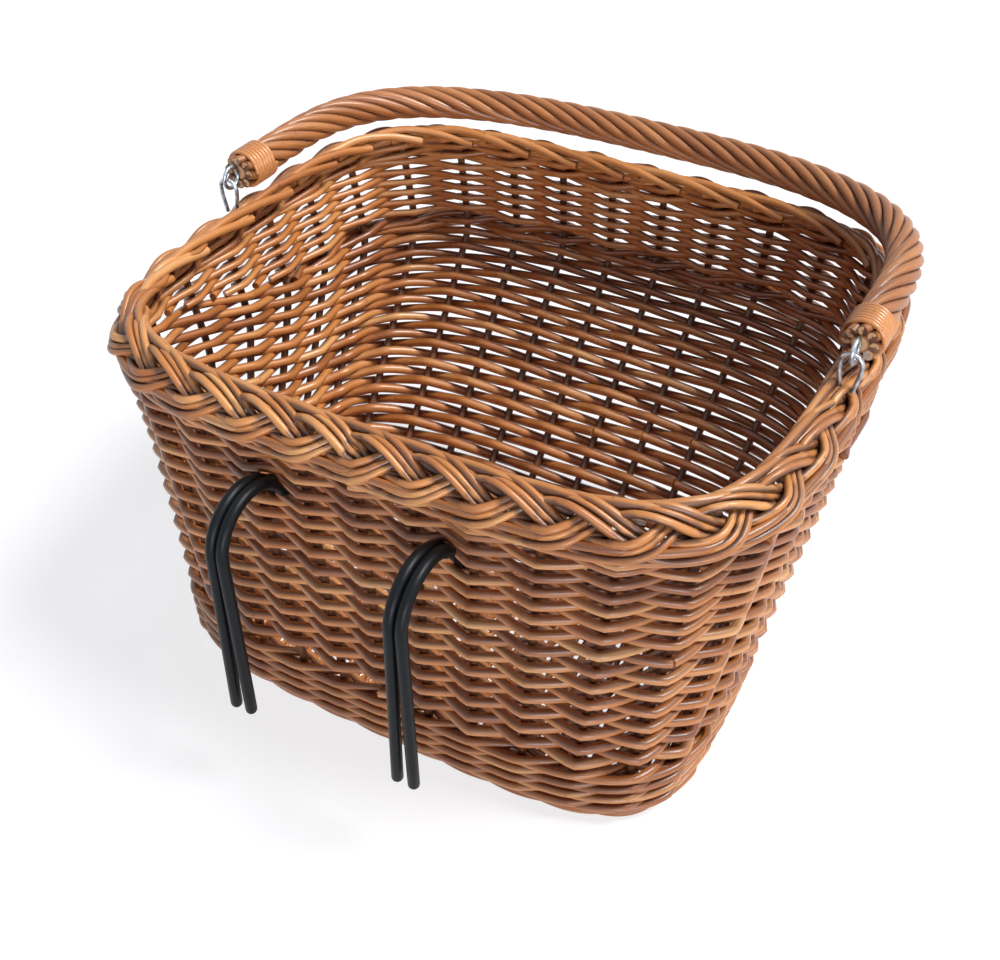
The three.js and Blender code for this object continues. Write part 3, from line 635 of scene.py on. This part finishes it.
for height in BASE_WALES:
    weave_lines += waling(height, BASE_WALE_RADIUS, dip=BASE_DIP)
weave_lines += waling(BACK_BEND + BEND_WALE_LIFT, BEND_WALE_RADIUS, BEND_WALE_PAINTED_SHADE,
                      BEND_WALE_FIRST, BEND_WALE_LAST)
for height, radius in RIM_WALES:
    weave_lines += waling(height, radius)
side_weave = rods("side_weave", weave_lines, woven_willow, 8, "basket",
                  [f"siding_{n}" for n in range(1, 6)])

# %% [markdown]
# ## Painted shade on the courses
# Painted shade darkens the upper half of each rod, and only outside the wall; the inside keeps its
# own colour. Painting it by hand would be lost at the next change of size, so
# it is worked out from the direction that each point of the mesh faces, and stored as shade.

# %% Painted shade
COURSE_PAINTED_SHADE = 0.9  # how dark the painted shade is at its darkest


def surface(piece):
    """Normals and places (in millimetres) of a piece's points."""
    count = len(piece.data.vertices)
    normals, spots = np.empty(3 * count), np.empty(3 * count)
    piece.data.vertices.foreach_get("normal", normals)
    piece.data.vertices.foreach_get("co", spots)
    return normals.reshape(-1, 3), spots.reshape(-1, 3) / MM


def set_shade(piece, shade):
    attribute = piece.data.attributes.new("shade", "FLOAT", "POINT")
    attribute.data.foreach_set("value", shade.astype(np.float32))
    print(piece.name, "stained points:", int((shade > 0.1).sum()), "of", len(shade))


normals, spots = surface(side_weave)
# About the outward direction of the wall, as in wall()
half_length, half_width, middle = plan(spots[:, 2])
away = np.stack([(spots[:, 0] / half_length) ** 3 / half_length,
                 ((spots[:, 1] - RIM_CENTRE_Y - middle) / half_width) ** 3 / half_width], axis=-1)
away /= np.linalg.norm(away, axis=-1, keepdims=True)
facing_out = np.sum(normals[:, :2] * away, axis=-1)
# Painted shade: the upper, outward-facing side of each rod is darkened.
set_shade(side_weave, COURSE_PAINTED_SHADE * ease(normals[:, 2], 0.3, 0.95) * ease(facing_out, -0.2, 0.3))

# %% [markdown]
# ## Plaited rim
# The rim is a plait of three strands, and each strand is three rods side by side. A strand runs
# slowly from the inner edge across the face of the plait, dives under the next strand, shows as a
# long lobe on the outside and goes quickly back underneath. One lobe could be modelled and
# repeated, but the rim's corners would break it, so each strand is a wave along the rim. The face
# leans outwards, and a strand rolls over at both edges, so its rods hang down there. At the back
# the plait is drawn tighter and swings less.

# %% Plait strands
STRANDS = 3
PLAIT_OUT, PLAIT_UP = -1.5, 0.5  # from the line of the stakes to the middle of the plait
PLAIT_SWING, PLAIT_FLAT = 12.2, 0.08  # how far a strand swings, and how flat its turns are
PLAIT_RISE = 3.1  # how far it passes over and under the others
PLAIT_WARP = 0.25  # how much slower it crosses the face than it goes back
PLAIT_TILT = math.radians(46)
ROLL_IN, ROLL_OUT = math.radians(55), math.radians(25)
PLAIT_CALM = 0.38  # how much less a strand swings at the back
PLAIT_STEPS = 16  # points for each stake
STRAND_RODS = ((-1, 2.35), (0, 2.05), (1, 2.25))  # place in the strand, and radius
STRAND_PITCH, OUTER_LIFT = 4.3, 0.3
SWELL, WOBBLE = 0.1, 0.5  # how a rod's thickness and place vary along the rim
SHORT_STEP = 0.01  # in stakes, to measure a slope


def plait_frame(places, strand):
    """Swing, rise and roll of a strand at these places."""
    cycle = 2 * math.pi * (places + strand) / STRANDS
    angle = cycle - PLAIT_WARP * np.sin(cycle)
    swing = PLAIT_SWING * (np.sin(angle) + PLAIT_FLAT * np.sin(3 * angle))
    roll = ROLL_IN * np.maximum(0, -np.sin(angle)) ** 2 - ROLL_OUT * np.maximum(0, np.sin(angle)) ** 2
    return swing, -PLAIT_RISE * np.sin(2 * angle), roll


def plait_point(places, swing, rise):
    point, outward = wall(places, PLAIT_HEIGHT)
    out = PLAIT_OUT + swing * math.cos(PLAIT_TILT) + rise * math.sin(PLAIT_TILT)
    up = PLAIT_UP - swing * math.sin(PLAIT_TILT) + rise * math.cos(PLAIT_TILT)
    return point + outward * out[:, None] + UP * up[:, None]


plait_lines = []
places = np.arange(0, STAKES * PLAIT_STEPS) / PLAIT_STEPS
round_rim = 2 * math.pi * places / STAKES
for strand in range(STRANDS):
    swing, rise, roll = plait_frame(places, strand)
    calm = 1 - PLAIT_CALM * back_share(places)
    swing = swing * calm
    ahead, behind = (plait_frame(places + step, strand)[0] for step in (SHORT_STEP, -SHORT_STEP))
    slope = calm * (ahead - behind) / (2 * SHORT_STEP * STAKE_PITCH)
    length = np.sqrt(1 + slope ** 2)
    for rod, size in STRAND_RODS:
        side = rod * STRAND_PITCH
        swell = 1 + SWELL * np.sin(4 * round_rim + 2.1 * rod + strand)
        wobble = WOBBLE * np.sin(5 * round_rim + 2.1 * rod + strand)
        moved = places - side * np.cos(roll) * slope / length / STAKE_PITCH
        path = plait_point(moved, swing + side * np.cos(roll) / length + wobble,
                           rise + side * np.sin(roll) + OUTER_LIFT * abs(rod))
        tints = chance.normal(0.5, 0.18, STAKES // STRANDS).clip(0.05, 0.95)
        stretch = np.floor((places + strand) / STRANDS + 0.3).astype(int) % (STAKES // STRANDS)
        plait_lines.append((path, size * swell, tints[stretch], True))
print("rods in the strands:", len(plait_lines))

# %% [markdown]
# ## The plait's inner edge and its gaps
# Thicker single rods lie along the inner edge of the plait: each comes up from inside, beside its
# stake, and goes under the plait two stakes further on. Deep between the strands little light comes
# in, but light alone leaves those gaps too pale in a small picture, so painted shade darkens what
# does not face away from the middle of the plait, as on the courses.

# %% Plait edge
EDGE_KEYS = np.array([0, 0.25, 0.5, 0.75, 1])  # along a rod
EDGE_SWING = np.array([-9.0, -13.0, -13.8, -11.0, -4.0])
EDGE_RISE = np.array([-8.0, -3.2, 0.6, 0.2, -4.5])
EDGE_START, EDGE_SPAN, EDGE_POINTS = -1.4, 2.7, 40
PLAIT_GAP_PAINTED_SHADE = 0.85  # how dark the painted shade in the gaps is
EASING = np.hanning(11)[1:-1] / 5
part = np.linspace(0, 1, EDGE_POINTS)
edge_path = [np.convolve(np.pad(np.interp(part, EDGE_KEYS, values), len(EASING) // 2, mode="edge"),
                         EASING, "valid") for values in (EDGE_SWING, EDGE_RISE)]


def depth_shade(piece, heart, darkest, low, high):
    """Paint shade on what does not face away from heart, the middle line of a bundle of rods."""
    normals, spots = surface(piece)
    nearest = np.argmin(np.linalg.norm(spots[:, None] - heart[None], axis=-1), axis=1)
    away = spots - heart[nearest]
    away /= np.linalg.norm(away, axis=-1, keepdims=True)
    set_shade(piece, darkest * (1 - ease(np.sum(normals * away, axis=-1), low, high)))


for stake in range(STAKES):
    start = stake + EDGE_START + chance.uniform(-0.12, 0.12)
    path = plait_point(start + EDGE_SPAN * part, *edge_path)
    radius, tint = chance.uniform(2.7, 3.1), np.clip(chance.normal(0.55, 0.15), 0.1, 0.95)
    plait_lines.append((path, radius, tint, False))
rim_plait = rods("rim_plait", plait_lines, plait_willow, 10, "basket",
                 ["rim_strand_1", "rim_strand_2", "rim_strand_3"])
# Painted shade in the gaps between the plait's strands.
depth_shade(rim_plait, wall(np.arange(4 * STAKES) / 4, PLAIT_HEIGHT)[0], PLAIT_GAP_PAINTED_SHADE, -0.1, 0.6)

# %% [markdown]
# ## Foot
# A foot of three rods runs round the bottom edge and carries the weight. The rods lie in a loose
# twist, so each one is a long screw line round the edge of the base. One thick ring would stand
# as well, but its edge would look cast.

# %% Foot
FOOT_RODS, FOOT_ROD = 3, 2.6
FOOT_TURNS, FOOT_TWIST = 10, 2.4  # turns round the basket, and radius of the twist
FOOT_OUT, FOOT_LEVEL = 1.0, 5.1
FOOT_POINTS = 400
foot_lines = []
places = np.arange(FOOT_POINTS) * STAKES / FOOT_POINTS
point, outward = wall(places, 0.0)
for rod in range(FOOT_RODS):
    angle = 2 * math.pi * (FOOT_TURNS * places / STAKES + rod / FOOT_RODS)
    out, up = FOOT_OUT + FOOT_TWIST * np.cos(angle), FOOT_LEVEL + FOOT_TWIST * np.sin(angle)
    path = point + outward * out[:, None] + UP * up[:, None]
    foot_lines.append((path, FOOT_ROD, 0.3 + 0.15 * rod, True))
rods("foot_rods", foot_lines, base_willow, 10, "basket", ["foot_rod"])

# %% [markdown]
# ## Woven base
# The floor is woven too: a few sticks run the length of the basket, and thinner rods pass over
# and under them, close together. A flat plate with a bump would do from above, but light shows
# through the real one. Each rod is as long as the rounded outline allows where it lies.

# %% Woven base
BASE_STICKS, BASE_STICK = 7, 2.3
BASE_ROD, BASE_ROD_GAP = 1.9, 0.35
BASE_LEVEL, BASE_WAVE = 6.4, 4.1  # height of the sticks, and how far the rods go over and under
STICK_SPREAD = 0.82  # the outermost sticks lie at this share of the half width
QUARTER = 200  # steps on a quarter of the outline
STICK_MARGIN, ROD_MARGIN, SHORT_MARGIN = 2, 3, 10  # what stays free at the edge
base_lines = []
half_length, half_width, middle = plan(0.0)
edge_x, edge_y = plan_point(0.0, np.linspace(-math.pi / 2, math.pi / 2, 2 * QUARTER + 1))
front_x, front_y = edge_x[:QUARTER + 1], edge_y[:QUARTER + 1]
back_x, back_y = edge_x[:QUARTER - 1:-1], edge_y[:QUARTER - 1:-1]
stick_y = middle + np.linspace(-STICK_SPREAD, STICK_SPREAD, BASE_STICKS) * half_width
for y in stick_y:
    reach = np.interp(y, edge_y, edge_x) - STICK_MARGIN
    xs = np.linspace(-reach, reach, 12)
    path = np.stack([xs, np.full_like(xs, y + RIM_CENTRE_Y), np.full_like(xs, BASE_LEVEL)], axis=-1)
    base_lines.append((path, BASE_STICK, chance.uniform(0.2, 0.6), False))
rod_x = np.arange(SHORT_MARGIN - half_length, half_length - SHORT_MARGIN + 1, 2 * BASE_ROD + BASE_ROD_GAP)
for index, x in enumerate(rod_x):
    front, back = np.interp(abs(x), front_x, front_y), np.interp(abs(x), back_x, back_y)
    ys = np.linspace(front + ROD_MARGIN, back - ROD_MARGIN, 50)
    wave = np.cos(math.pi * ((ys - stick_y[0]) / (stick_y[1] - stick_y[0]) + index))
    path = np.stack([np.full_like(ys, x), ys + RIM_CENTRE_Y, BASE_LEVEL + BASE_WAVE * wave], axis=-1)
    base_lines.append((path, BASE_ROD, chance.normal(0.5, 0.15), False))
rods("woven_base", base_lines, base_willow, 6, "basket", ["base_mat"])

# %% [markdown]
# ## The handle's path
# The handle runs straight at both ends, bends round to the grip and sags a little in between. A
# Bezier curve could be drawn by eye. Here half a superellipse and two straight legs make it from
# a few sizes, and it is then divided into equal steps, so that the twist is even. Its pivot is
# the hinge of the CAD model.

# %% Handle path
PIVOT = np.array(frame["joints"][0]["pos_m"]) / MM
HANDLE_HALF = 212.3  # half the distance between the legs
HANDLE_END, HANDLE_REACH = 12.5, 208.0  # from the pivot to the ends, and to the grip
HANDLE_LEG = 52.0  # length of a straight leg
HANDLE_POWER = 2.8
HANDLE_SAG = 6.0  # the grip hangs this much lower than the legs
HANDLE_POINTS = 181
bow = np.linspace(math.pi, 0, 1201)
leg_y = HANDLE_END + HANDLE_LEG
bow_x = HANDLE_HALF * signed_power(np.cos(bow), 2 / HANDLE_POWER)
bow_y = leg_y + (HANDLE_REACH - leg_y) * np.abs(np.sin(bow)) ** (2 / HANDLE_POWER)
outline_x = np.concatenate([[-HANDLE_HALF], bow_x, [HANDLE_HALF]])
outline_y = np.concatenate([[HANDLE_END], bow_y, [HANDLE_END]])
run = np.concatenate([[0], np.cumsum(np.hypot(np.diff(outline_x), np.diff(outline_y)))])
even = np.linspace(0, run[-1], HANDLE_POINTS)
spine_x, spine_y = np.interp(even, run, outline_x), np.interp(even, run, outline_y)
sag = HANDLE_SAG * np.clip((spine_y - leg_y) / (HANDLE_REACH - leg_y), 0, 1) ** 2
spine = np.stack([spine_x, spine_y, -sag], axis=-1)
tangent = np.gradient(spine, axis=0)
tangent /= np.linalg.norm(tangent, axis=1, keepdims=True)
across = np.cross(tangent, UP)
print("handle length:", round(run[-1]), "mm")

# %% [markdown]
# ## The handle's rods
# The handle is a bundle of eight rods twisted round a thicker heart. A twisted profile on one
# mesh would look alike from afar, but the cut ends show that the rods are separate. Each rod is a
# screw line round the path. The grooves between the rods are darkened with painted shade, as the
# gaps of the plait are.

# %% Handle rods
HANDLE_RADIUS = 11.25
HANDLE_RODS, HANDLE_TURNS = 8, -5
ROD_RING = 8.25  # from the heart's middle to the middle of a rod
ROD_RADIUS = HANDLE_RADIUS - ROD_RING + 0.25  # a little more, so that the rods press together
HEART_RADIUS = 5.6
GROOVE_PAINTED_SHADE = 0.75  # how dark the painted shade in the grooves is
UNEVEN = 1.5  # how far the rods' cut ends differ
heart = PIVOT + spine
handle_lines, rod_ends = [], []
for rod in range(HANDLE_RODS):
    angle = 2 * math.pi * (rod / HANDLE_RODS + HANDLE_TURNS * even / run[-1])
    ring = across * np.cos(angle)[:, None] + UP * np.sin(angle)[:, None]
    path = heart + ring * ROD_RING
    path[0, 1] += chance.uniform(-UNEVEN, UNEVEN)
    path[-1, 1] += chance.uniform(-UNEVEN, UNEVEN)
    handle_lines.append((path, ROD_RADIUS * chance.uniform(0.97, 1.03), chance.normal(0.5, 0.14), False))
    rod_ends += [(path[0], ROD_RADIUS), (path[-1], ROD_RADIUS)]
handle_twist = rods("handle_twist", handle_lines, handle_willow, 12, "handle",
                    [f"handle_rod_{n}" for n in range(1, HANDLE_RODS + 1)])
# Painted shade in the grooves between the handle's rods.
depth_shade(handle_twist, heart, GROOVE_PAINTED_SHADE, 0.35, 0.95)
rods("handle_heart", [(heart, HEART_RADIUS, 0.5, False)], handle_willow, 10, "handle",
     ["handle_core"])
rod_ends += [(heart[0], HEART_RADIUS - 0.1), (heart[-1], HEART_RADIUS - 0.1)]

# %% [markdown]
# ## Cut rod ends
# At each end of the handle the rods are cut off square, and the pale wood shows round a dark
# pith. The caps of the rods could get a second material, but they have no middle point to draw
# rings from. So a second tree sets a small disc on every rod end. The disc stores how far each
# point is from its middle, and the material draws the rings from that.

# %% Cut ends
END_STANDOFF = 0.12  # a disc lies this far in front of the rod's own end
END_SHARE = 0.97  # of the rod's radius
END_FACING = np.array([0, -1, 0])
ends_tree, given = new_tree("discs_on_points", TREE_INPUTS)
size = add(ends_tree, "GeometryNodeInputNamedAttribute", {"Name": "size"}, data_type="FLOAT")
facing = add(ends_tree, "GeometryNodeInputNamedAttribute", {"Name": "facing"}, data_type="FLOAT_VECTOR")
disc = add(ends_tree, "GeometryNodeMeshCircle", {
    "Vertices": given.outputs["Sides"], "Radius": 1.0}, fill_type="TRIANGLE_FAN")
where = add(ends_tree, "GeometryNodeInputPosition")
distance = add(ends_tree, "ShaderNodeVectorMath", {0: where.outputs[0]}, operation="LENGTH")
marked = add(ends_tree, "GeometryNodeStoreNamedAttribute", {
    "Geometry": disc.outputs[0], "Name": "radial", "Value": distance.outputs["Value"]},
    data_type="FLOAT", domain="POINT")
turned = add(ends_tree, "FunctionNodeAlignRotationToVector", {
    "Vector": facing.outputs["Attribute"]}, axis="Z")
placed = add(ends_tree, "GeometryNodeInstanceOnPoints", {
    "Points": given.outputs["Geometry"], "Instance": marked.outputs[0],
    "Rotation": turned.outputs[0], "Scale": size.outputs["Attribute"]})
real = add(ends_tree, "GeometryNodeRealizeInstances", {0: placed.outputs[0]})
finished = add(ends_tree, "GeometryNodeSetMaterial", {
    "Geometry": real.outputs[0], "Material": given.outputs["Material"]})
add(ends_tree, "NodeGroupOutput", {0: finished.outputs[0]})

cut_ends = points_piece("handle_cut_ends", [end + END_STANDOFF * END_FACING for end, _ in rod_ends], [], {
    "size": ("FLOAT", [END_SHARE * radius * MM for _, radius in rod_ends]),
    "facing": ("FLOAT_VECTOR", [END_FACING] * len(rod_ends))})
run_tree(cut_ends, ends_tree, {"Sides": 16, "Material": cut_willow})
place_piece(cut_ends, "handle", [])

# %% [markdown]
# ## Lashings
# A length of split cane is wound round each leg of the handle. Its turns lie close, and the ends
# are tucked under. A sleeve with grooves would be lighter, but a wound rod also shows the slant of
# the turns and catches the light as cane does.

# %% Lashings
LASHING_TURNS, LASHING_PITCH = 7, 2.9
LASHING_RADIUS, LASHING_RING = 1.5, HANDLE_RADIUS + 0.75
LASHING_START = HANDLE_END + 4.5
TURN_POINTS = 32
SIDES = ((-1, "left"), (1, "right"))
turns = np.linspace(0, LASHING_TURNS, LASHING_TURNS * TURN_POINTS + 1)
angle = 2 * math.pi * turns
for side, name in SIDES:
    path = PIVOT + np.stack([side * HANDLE_HALF + LASHING_RING * np.cos(angle),
                             LASHING_START + LASHING_PITCH * turns,
                             LASHING_RING * np.sin(angle)], axis=-1)
    rods(f"lashing_{name}", [(path, LASHING_RADIUS, 0.55, False)], cane, 10, "handle",
         [f"handle_lashing_{name}"])

# %% [markdown]
# ## Wire eyes
# An eye of galvanised wire is held in the heart of each end of the handle: a ring with a shank. A
# torus and a cylinder would make it too, but the rod tree is at hand and gives both the same wire.
# The ring's inside hangs on the pivot, with a little play. The paths are measured from the pivot.

# %% Wire eyes
WIRE_RADIUS = 1.35
EYE_RADIUS = 7.0
WIRE_SEAT, EYE_PLAY = 2.6, 0.5  # thickness of the wire that the ring hangs on, and play
EYE_CENTRE = EYE_RADIUS - WIRE_SEAT - EYE_PLAY
SHANK_LENGTH = 18  # inside the handle
angle = np.linspace(0, 2 * math.pi, 48, endpoint=False)
eye_ring = np.stack([np.zeros_like(angle), EYE_CENTRE + EYE_RADIUS * np.cos(angle),
                     EYE_RADIUS * np.sin(angle)], axis=-1)
shank_y = np.linspace(EYE_CENTRE + EYE_RADIUS, HANDLE_END + SHANK_LENGTH, 6)
eye_shank = np.stack([np.zeros_like(shank_y), shank_y, np.zeros_like(shank_y)], axis=-1)
print("an eye is", 2 * (EYE_RADIUS + WIRE_RADIUS), "mm across")

# %% [markdown]
# ## Wire loops
# Each eye hangs in a loop of the same wire that is driven over a strand of the rim, so the handle
# can swing right over. The loop is an arch with two legs that close in towards the rim. It could
# be cut from a ring, but half a circle and two points for each leg say the same with less. The
# eyes ride on the handle and the loops on the basket.

# %% Wire loops
LOOP_HALF = 6.4  # half the width of the arch
LOOP_SHOULDER, SHOULDER_HEIGHT = 6.0, 264.0
LOOP_TOE, TOE_HEIGHT = 3.4, 252.0  # the ends, inside the plait
bend = np.linspace(math.pi, 0, 25)
arch = np.stack([LOOP_HALF * np.cos(bend), np.zeros_like(bend),
                 PIVOT[2] - LOOP_HALF + LOOP_HALF * np.sin(bend)], axis=-1)
left_leg = np.array([[-LOOP_TOE, 0.0, TOE_HEIGHT], [-LOOP_SHOULDER, 0.0, SHOULDER_HEIGHT]])
right_leg = left_leg[::-1] * np.array([-1, 1, 1])
loop = np.concatenate([left_leg, arch, right_leg])
for side, name in SIDES:
    hinge = PIVOT + np.array([side * HANDLE_HALF, 0, 0])
    eye_lines = [(hinge + eye_ring, WIRE_RADIUS, 0.5, True), (hinge + eye_shank, WIRE_RADIUS, 0.5, False)]
    rods(f"eye_{name}", eye_lines, galvanised_wire, 12, "handle", [f"handle_eye_{name}"])
    loop_lines = [(loop + hinge * np.array([1, 1, 0]), WIRE_RADIUS, 0.5, False)]
    rods(f"loop_{name}", loop_lines, galvanised_wire, 12, "basket", [f"rim_loop_{name}"])

# %% [markdown]
# ## Hooks
# Each hook is one steel rod bent like a hairpin and dipped in plastic. Both legs hang in front of
# the wall, arch over the handlebar, go through the wall side by side and turn down inside. It
# could be a curve with a few handles; here arcs and straight lines give one leg, and the other is
# its mirror image. The tips are round because the plastic covers them, so the rod's thickness
# follows a half circle there.

# %% Hooks
HOOK_LEVEL = 186.15  # height of the arch's centre
HOOK_RADIUS, HOOK_PAIR = 3.6, 7.3  # of the rod, and from one leg to the other
HOOK_ARCH, HOOK_ENTRY = 29.0, 35  # radius of the arch, and the angle where it meets the wall
HOOK_LEG, HOOK_REACH = 118.0, 45.0  # length of a leg, and how far it stands off the wall
TIP_SPREAD, INNER_SPREAD, INNER_LEG = 11.0, 16.0, 30.0
INNER_BEND = 12  # length of the bend inside the wall
WEAVE_DEPTH = 8.5  # from the line of the stakes to the face of the weave
LEG_POINTS, LEG_TOP = 8, 8  # the straight part ends this far below the arch's centre
CAP_SHARES = np.array([1, 0.92, 0.7, 0.35])  # points on the round tip, from its end
MIRROR = np.array([-1, 1, 1])


def arc(y, z, radius, start, end, steps):
    angle = np.radians(np.linspace(start, end, steps + 1))
    return np.stack([y + radius * np.cos(angle), z + radius * np.sin(angle)], axis=-1)


def hook_path(side):
    at, _ = wall(side * HOOK_PLACE, HOOK_LEVEL)
    leg_y = at[1] - WEAVE_DEPTH - HOOK_REACH - HOOK_RADIUS
    inner_end = HOOK_LEVEL - INNER_LEG
    inner = wall(side * HOOK_PLACE, inner_end)[0][1] + WEAVE_DEPTH + HOOK_RADIUS
    leg_z = np.linspace(HOOK_LEVEL - HOOK_LEG, HOOK_LEVEL - LEG_TOP, LEG_POINTS)
    leg = np.stack([np.full(LEG_POINTS, leg_y), leg_z], axis=-1)
    arch = arc(leg_y + HOOK_ARCH, HOOK_LEVEL, HOOK_ARCH, 180, HOOK_ENTRY, 24)
    fall = (inner - arch[-1, 0]) / math.tan(math.radians(HOOK_ENTRY))
    corner = np.array([inner, arch[-1, 1] - fall])
    share = np.linspace(0, 1, 9)[1:, None]
    end = corner - np.array([0, INNER_BEND])
    turn_down = (1 - share) ** 2 * arch[-1] + 2 * share * (1 - share) * corner + share ** 2 * end
    yz = np.concatenate([leg, arch, turn_down])
    spread = np.full(len(yz), HOOK_PAIR / 2)
    spread[:LEG_POINTS] = np.linspace(TIP_SPREAD / 2, HOOK_PAIR / 2 + 0.1, LEG_POINTS)
    half = np.stack([-spread, yz[:, 0], yz[:, 1]], axis=-1)
    turn = np.linspace(math.pi, 2 * math.pi, 17)
    bottom = np.stack([INNER_SPREAD / 2 * np.cos(turn), np.full_like(turn, inner),
                       inner_end + INNER_SPREAD / 2 * np.sin(turn)], axis=-1)
    return np.concatenate([half, bottom, half[::-1] * MIRROR]) + np.array([at[0], 0, 0])


cap = -UP * HOOK_RADIUS * CAP_SHARES[:, None]
cap_radius = HOOK_RADIUS * np.sqrt(np.maximum(0.0004, 1 - CAP_SHARES ** 2))
for side, name in SIDES:
    path = hook_path(side)
    thickness = np.concatenate([cap_radius, np.full(len(path), HOOK_RADIUS), cap_radius[::-1]])
    path = np.concatenate([cap + path[0], path, cap[::-1] + path[-1]])
    rods(f"hook_rod_{name}", [(path, thickness, 0.5, False)], hook_coating, 16, "basket",
         [f"hook_{name}"])

# %% [markdown]
# ## Floor
# The photograph has a white sweep of paper, and the shadow on it is faint. A bright floor would
# also throw light up into the basket. So the paper here is plain and pale for the light, and glows
# a little only for what the eye sees, straight or in a reflection: the Light Path node tells them
# apart. The shadow stays, because the glow is only mixed in.

# %% Floor
FLOOR = 6.0  # metres from the middle to an edge
PAPER, WHITE = "#E9E9EB", "#FFFFFF"
GLOW, GLOW_SHARE = 1.2, 0.65


def seen_rays(tree):
    """1 for what the eye sees, straight, in a reflection or through something clear, else 0."""
    rays = add(tree, "ShaderNodeLightPath")
    mirrored = add(tree, "ShaderNodeMath", {
        0: rays.outputs["Is Camera Ray"], 1: rays.outputs["Is Glossy Ray"]}, operation="MAXIMUM")
    return add(tree, "ShaderNodeMath", {
        0: mirrored.outputs[0], 1: rays.outputs["Is Transmission Ray"]}, operation="MAXIMUM").outputs[0]


floor_mesh = bpy.data.meshes.new("floor")
floor_corners = [(-FLOOR, -FLOOR, 0), (FLOOR, -FLOOR, 0), (FLOOR, FLOOR, 0), (-FLOOR, FLOOR, 0)]
floor_mesh.from_pydata(floor_corners, [], [(0, 1, 2, 3)])
floor = bpy.data.objects.new("floor", floor_mesh)
bpy.context.scene.collection.objects.link(floor)
paper, tree = new_material("white_paper")
plain = add(tree, "ShaderNodeBsdfDiffuse", {"Color": linear(PAPER)})
glow = add(tree, "ShaderNodeEmission", {"Color": linear(WHITE), "Strength": GLOW})
share = add(tree, "ShaderNodeMath", {0: seen_rays(tree), 1: GLOW_SHARE}, operation="MULTIPLY")
shader = add(tree, "ShaderNodeMixShader", {0: share.outputs[0], 1: plain.outputs[0], 2: glow.outputs[0]})
add(tree, "ShaderNodeOutputMaterial", {"Surface": shader.outputs[0]})
floor_mesh.materials.append(paper)
print("floor:", 2 * FLOOR, "m square")

# %% [markdown]
# ## Light
# A soft light comes from the right, high up and a little behind, so the right side and the inside
# of the left wall are bright and the inside of the back wall is in shade. A weaker, low one from
# the front right brings out the front wall. Area lamps would make one part of the floor brighter,
# so wide suns are used: they light everything evenly. What little comes from all round is blue,
# as daylight in a room is, and the eye sees white behind the basket.

# %% Light
SKY_BLUE, SKY_LIGHT, SKY_SEEN = "#8FA8FF", 0.14, 1.0


def sun(name, azimuth, elevation, strength, angle, colour):
    """Angles are in degrees: azimuth 0 is in front of the basket and 90 on its right."""
    data = bpy.data.lights.new(name, "SUN")
    data.energy = strength
    data.angle = math.radians(angle)
    data.color = linear(colour)[:3]
    lamp = bpy.data.objects.new(name, data)
    a, e = math.radians(azimuth), math.radians(elevation)
    back = Vector((math.sin(a) * math.cos(e), -math.cos(a) * math.cos(e), math.sin(e)))
    lamp.rotation_euler = back.to_track_quat("Z", "Y").to_euler()
    bpy.context.scene.collection.objects.link(lamp)


sun("key", azimuth=112, elevation=58, strength=3.8, angle=22, colour="#FFFFFF")
sun("fill", azimuth=35, elevation=4, strength=2.2, angle=25, colour="#F4F5FF")
world = bpy.data.worlds.new("studio")
bpy.context.scene.world = world
world.use_nodes = True
tree = world.node_tree
tree.nodes.clear()
seen = seen_rays(tree)
strength = add(tree, "ShaderNodeMapRange", {"Value": seen, "To Min": SKY_LIGHT, "To Max": SKY_SEEN})
tone = add(tree, "ShaderNodeMix", {
    "Factor": seen, "A": linear(SKY_BLUE), "B": linear(WHITE)}, data_type="RGBA")
sky = add(tree, "ShaderNodeBackground", {"Color": tone.outputs[2], "Strength": strength.outputs[0]})
add(tree, "ShaderNodeOutputWorld", {"Surface": sky.outputs[0]})
bpy.context.scene.view_settings.view_transform = "Standard"
print("lamps:", [lamp.name for lamp in bpy.data.lights])
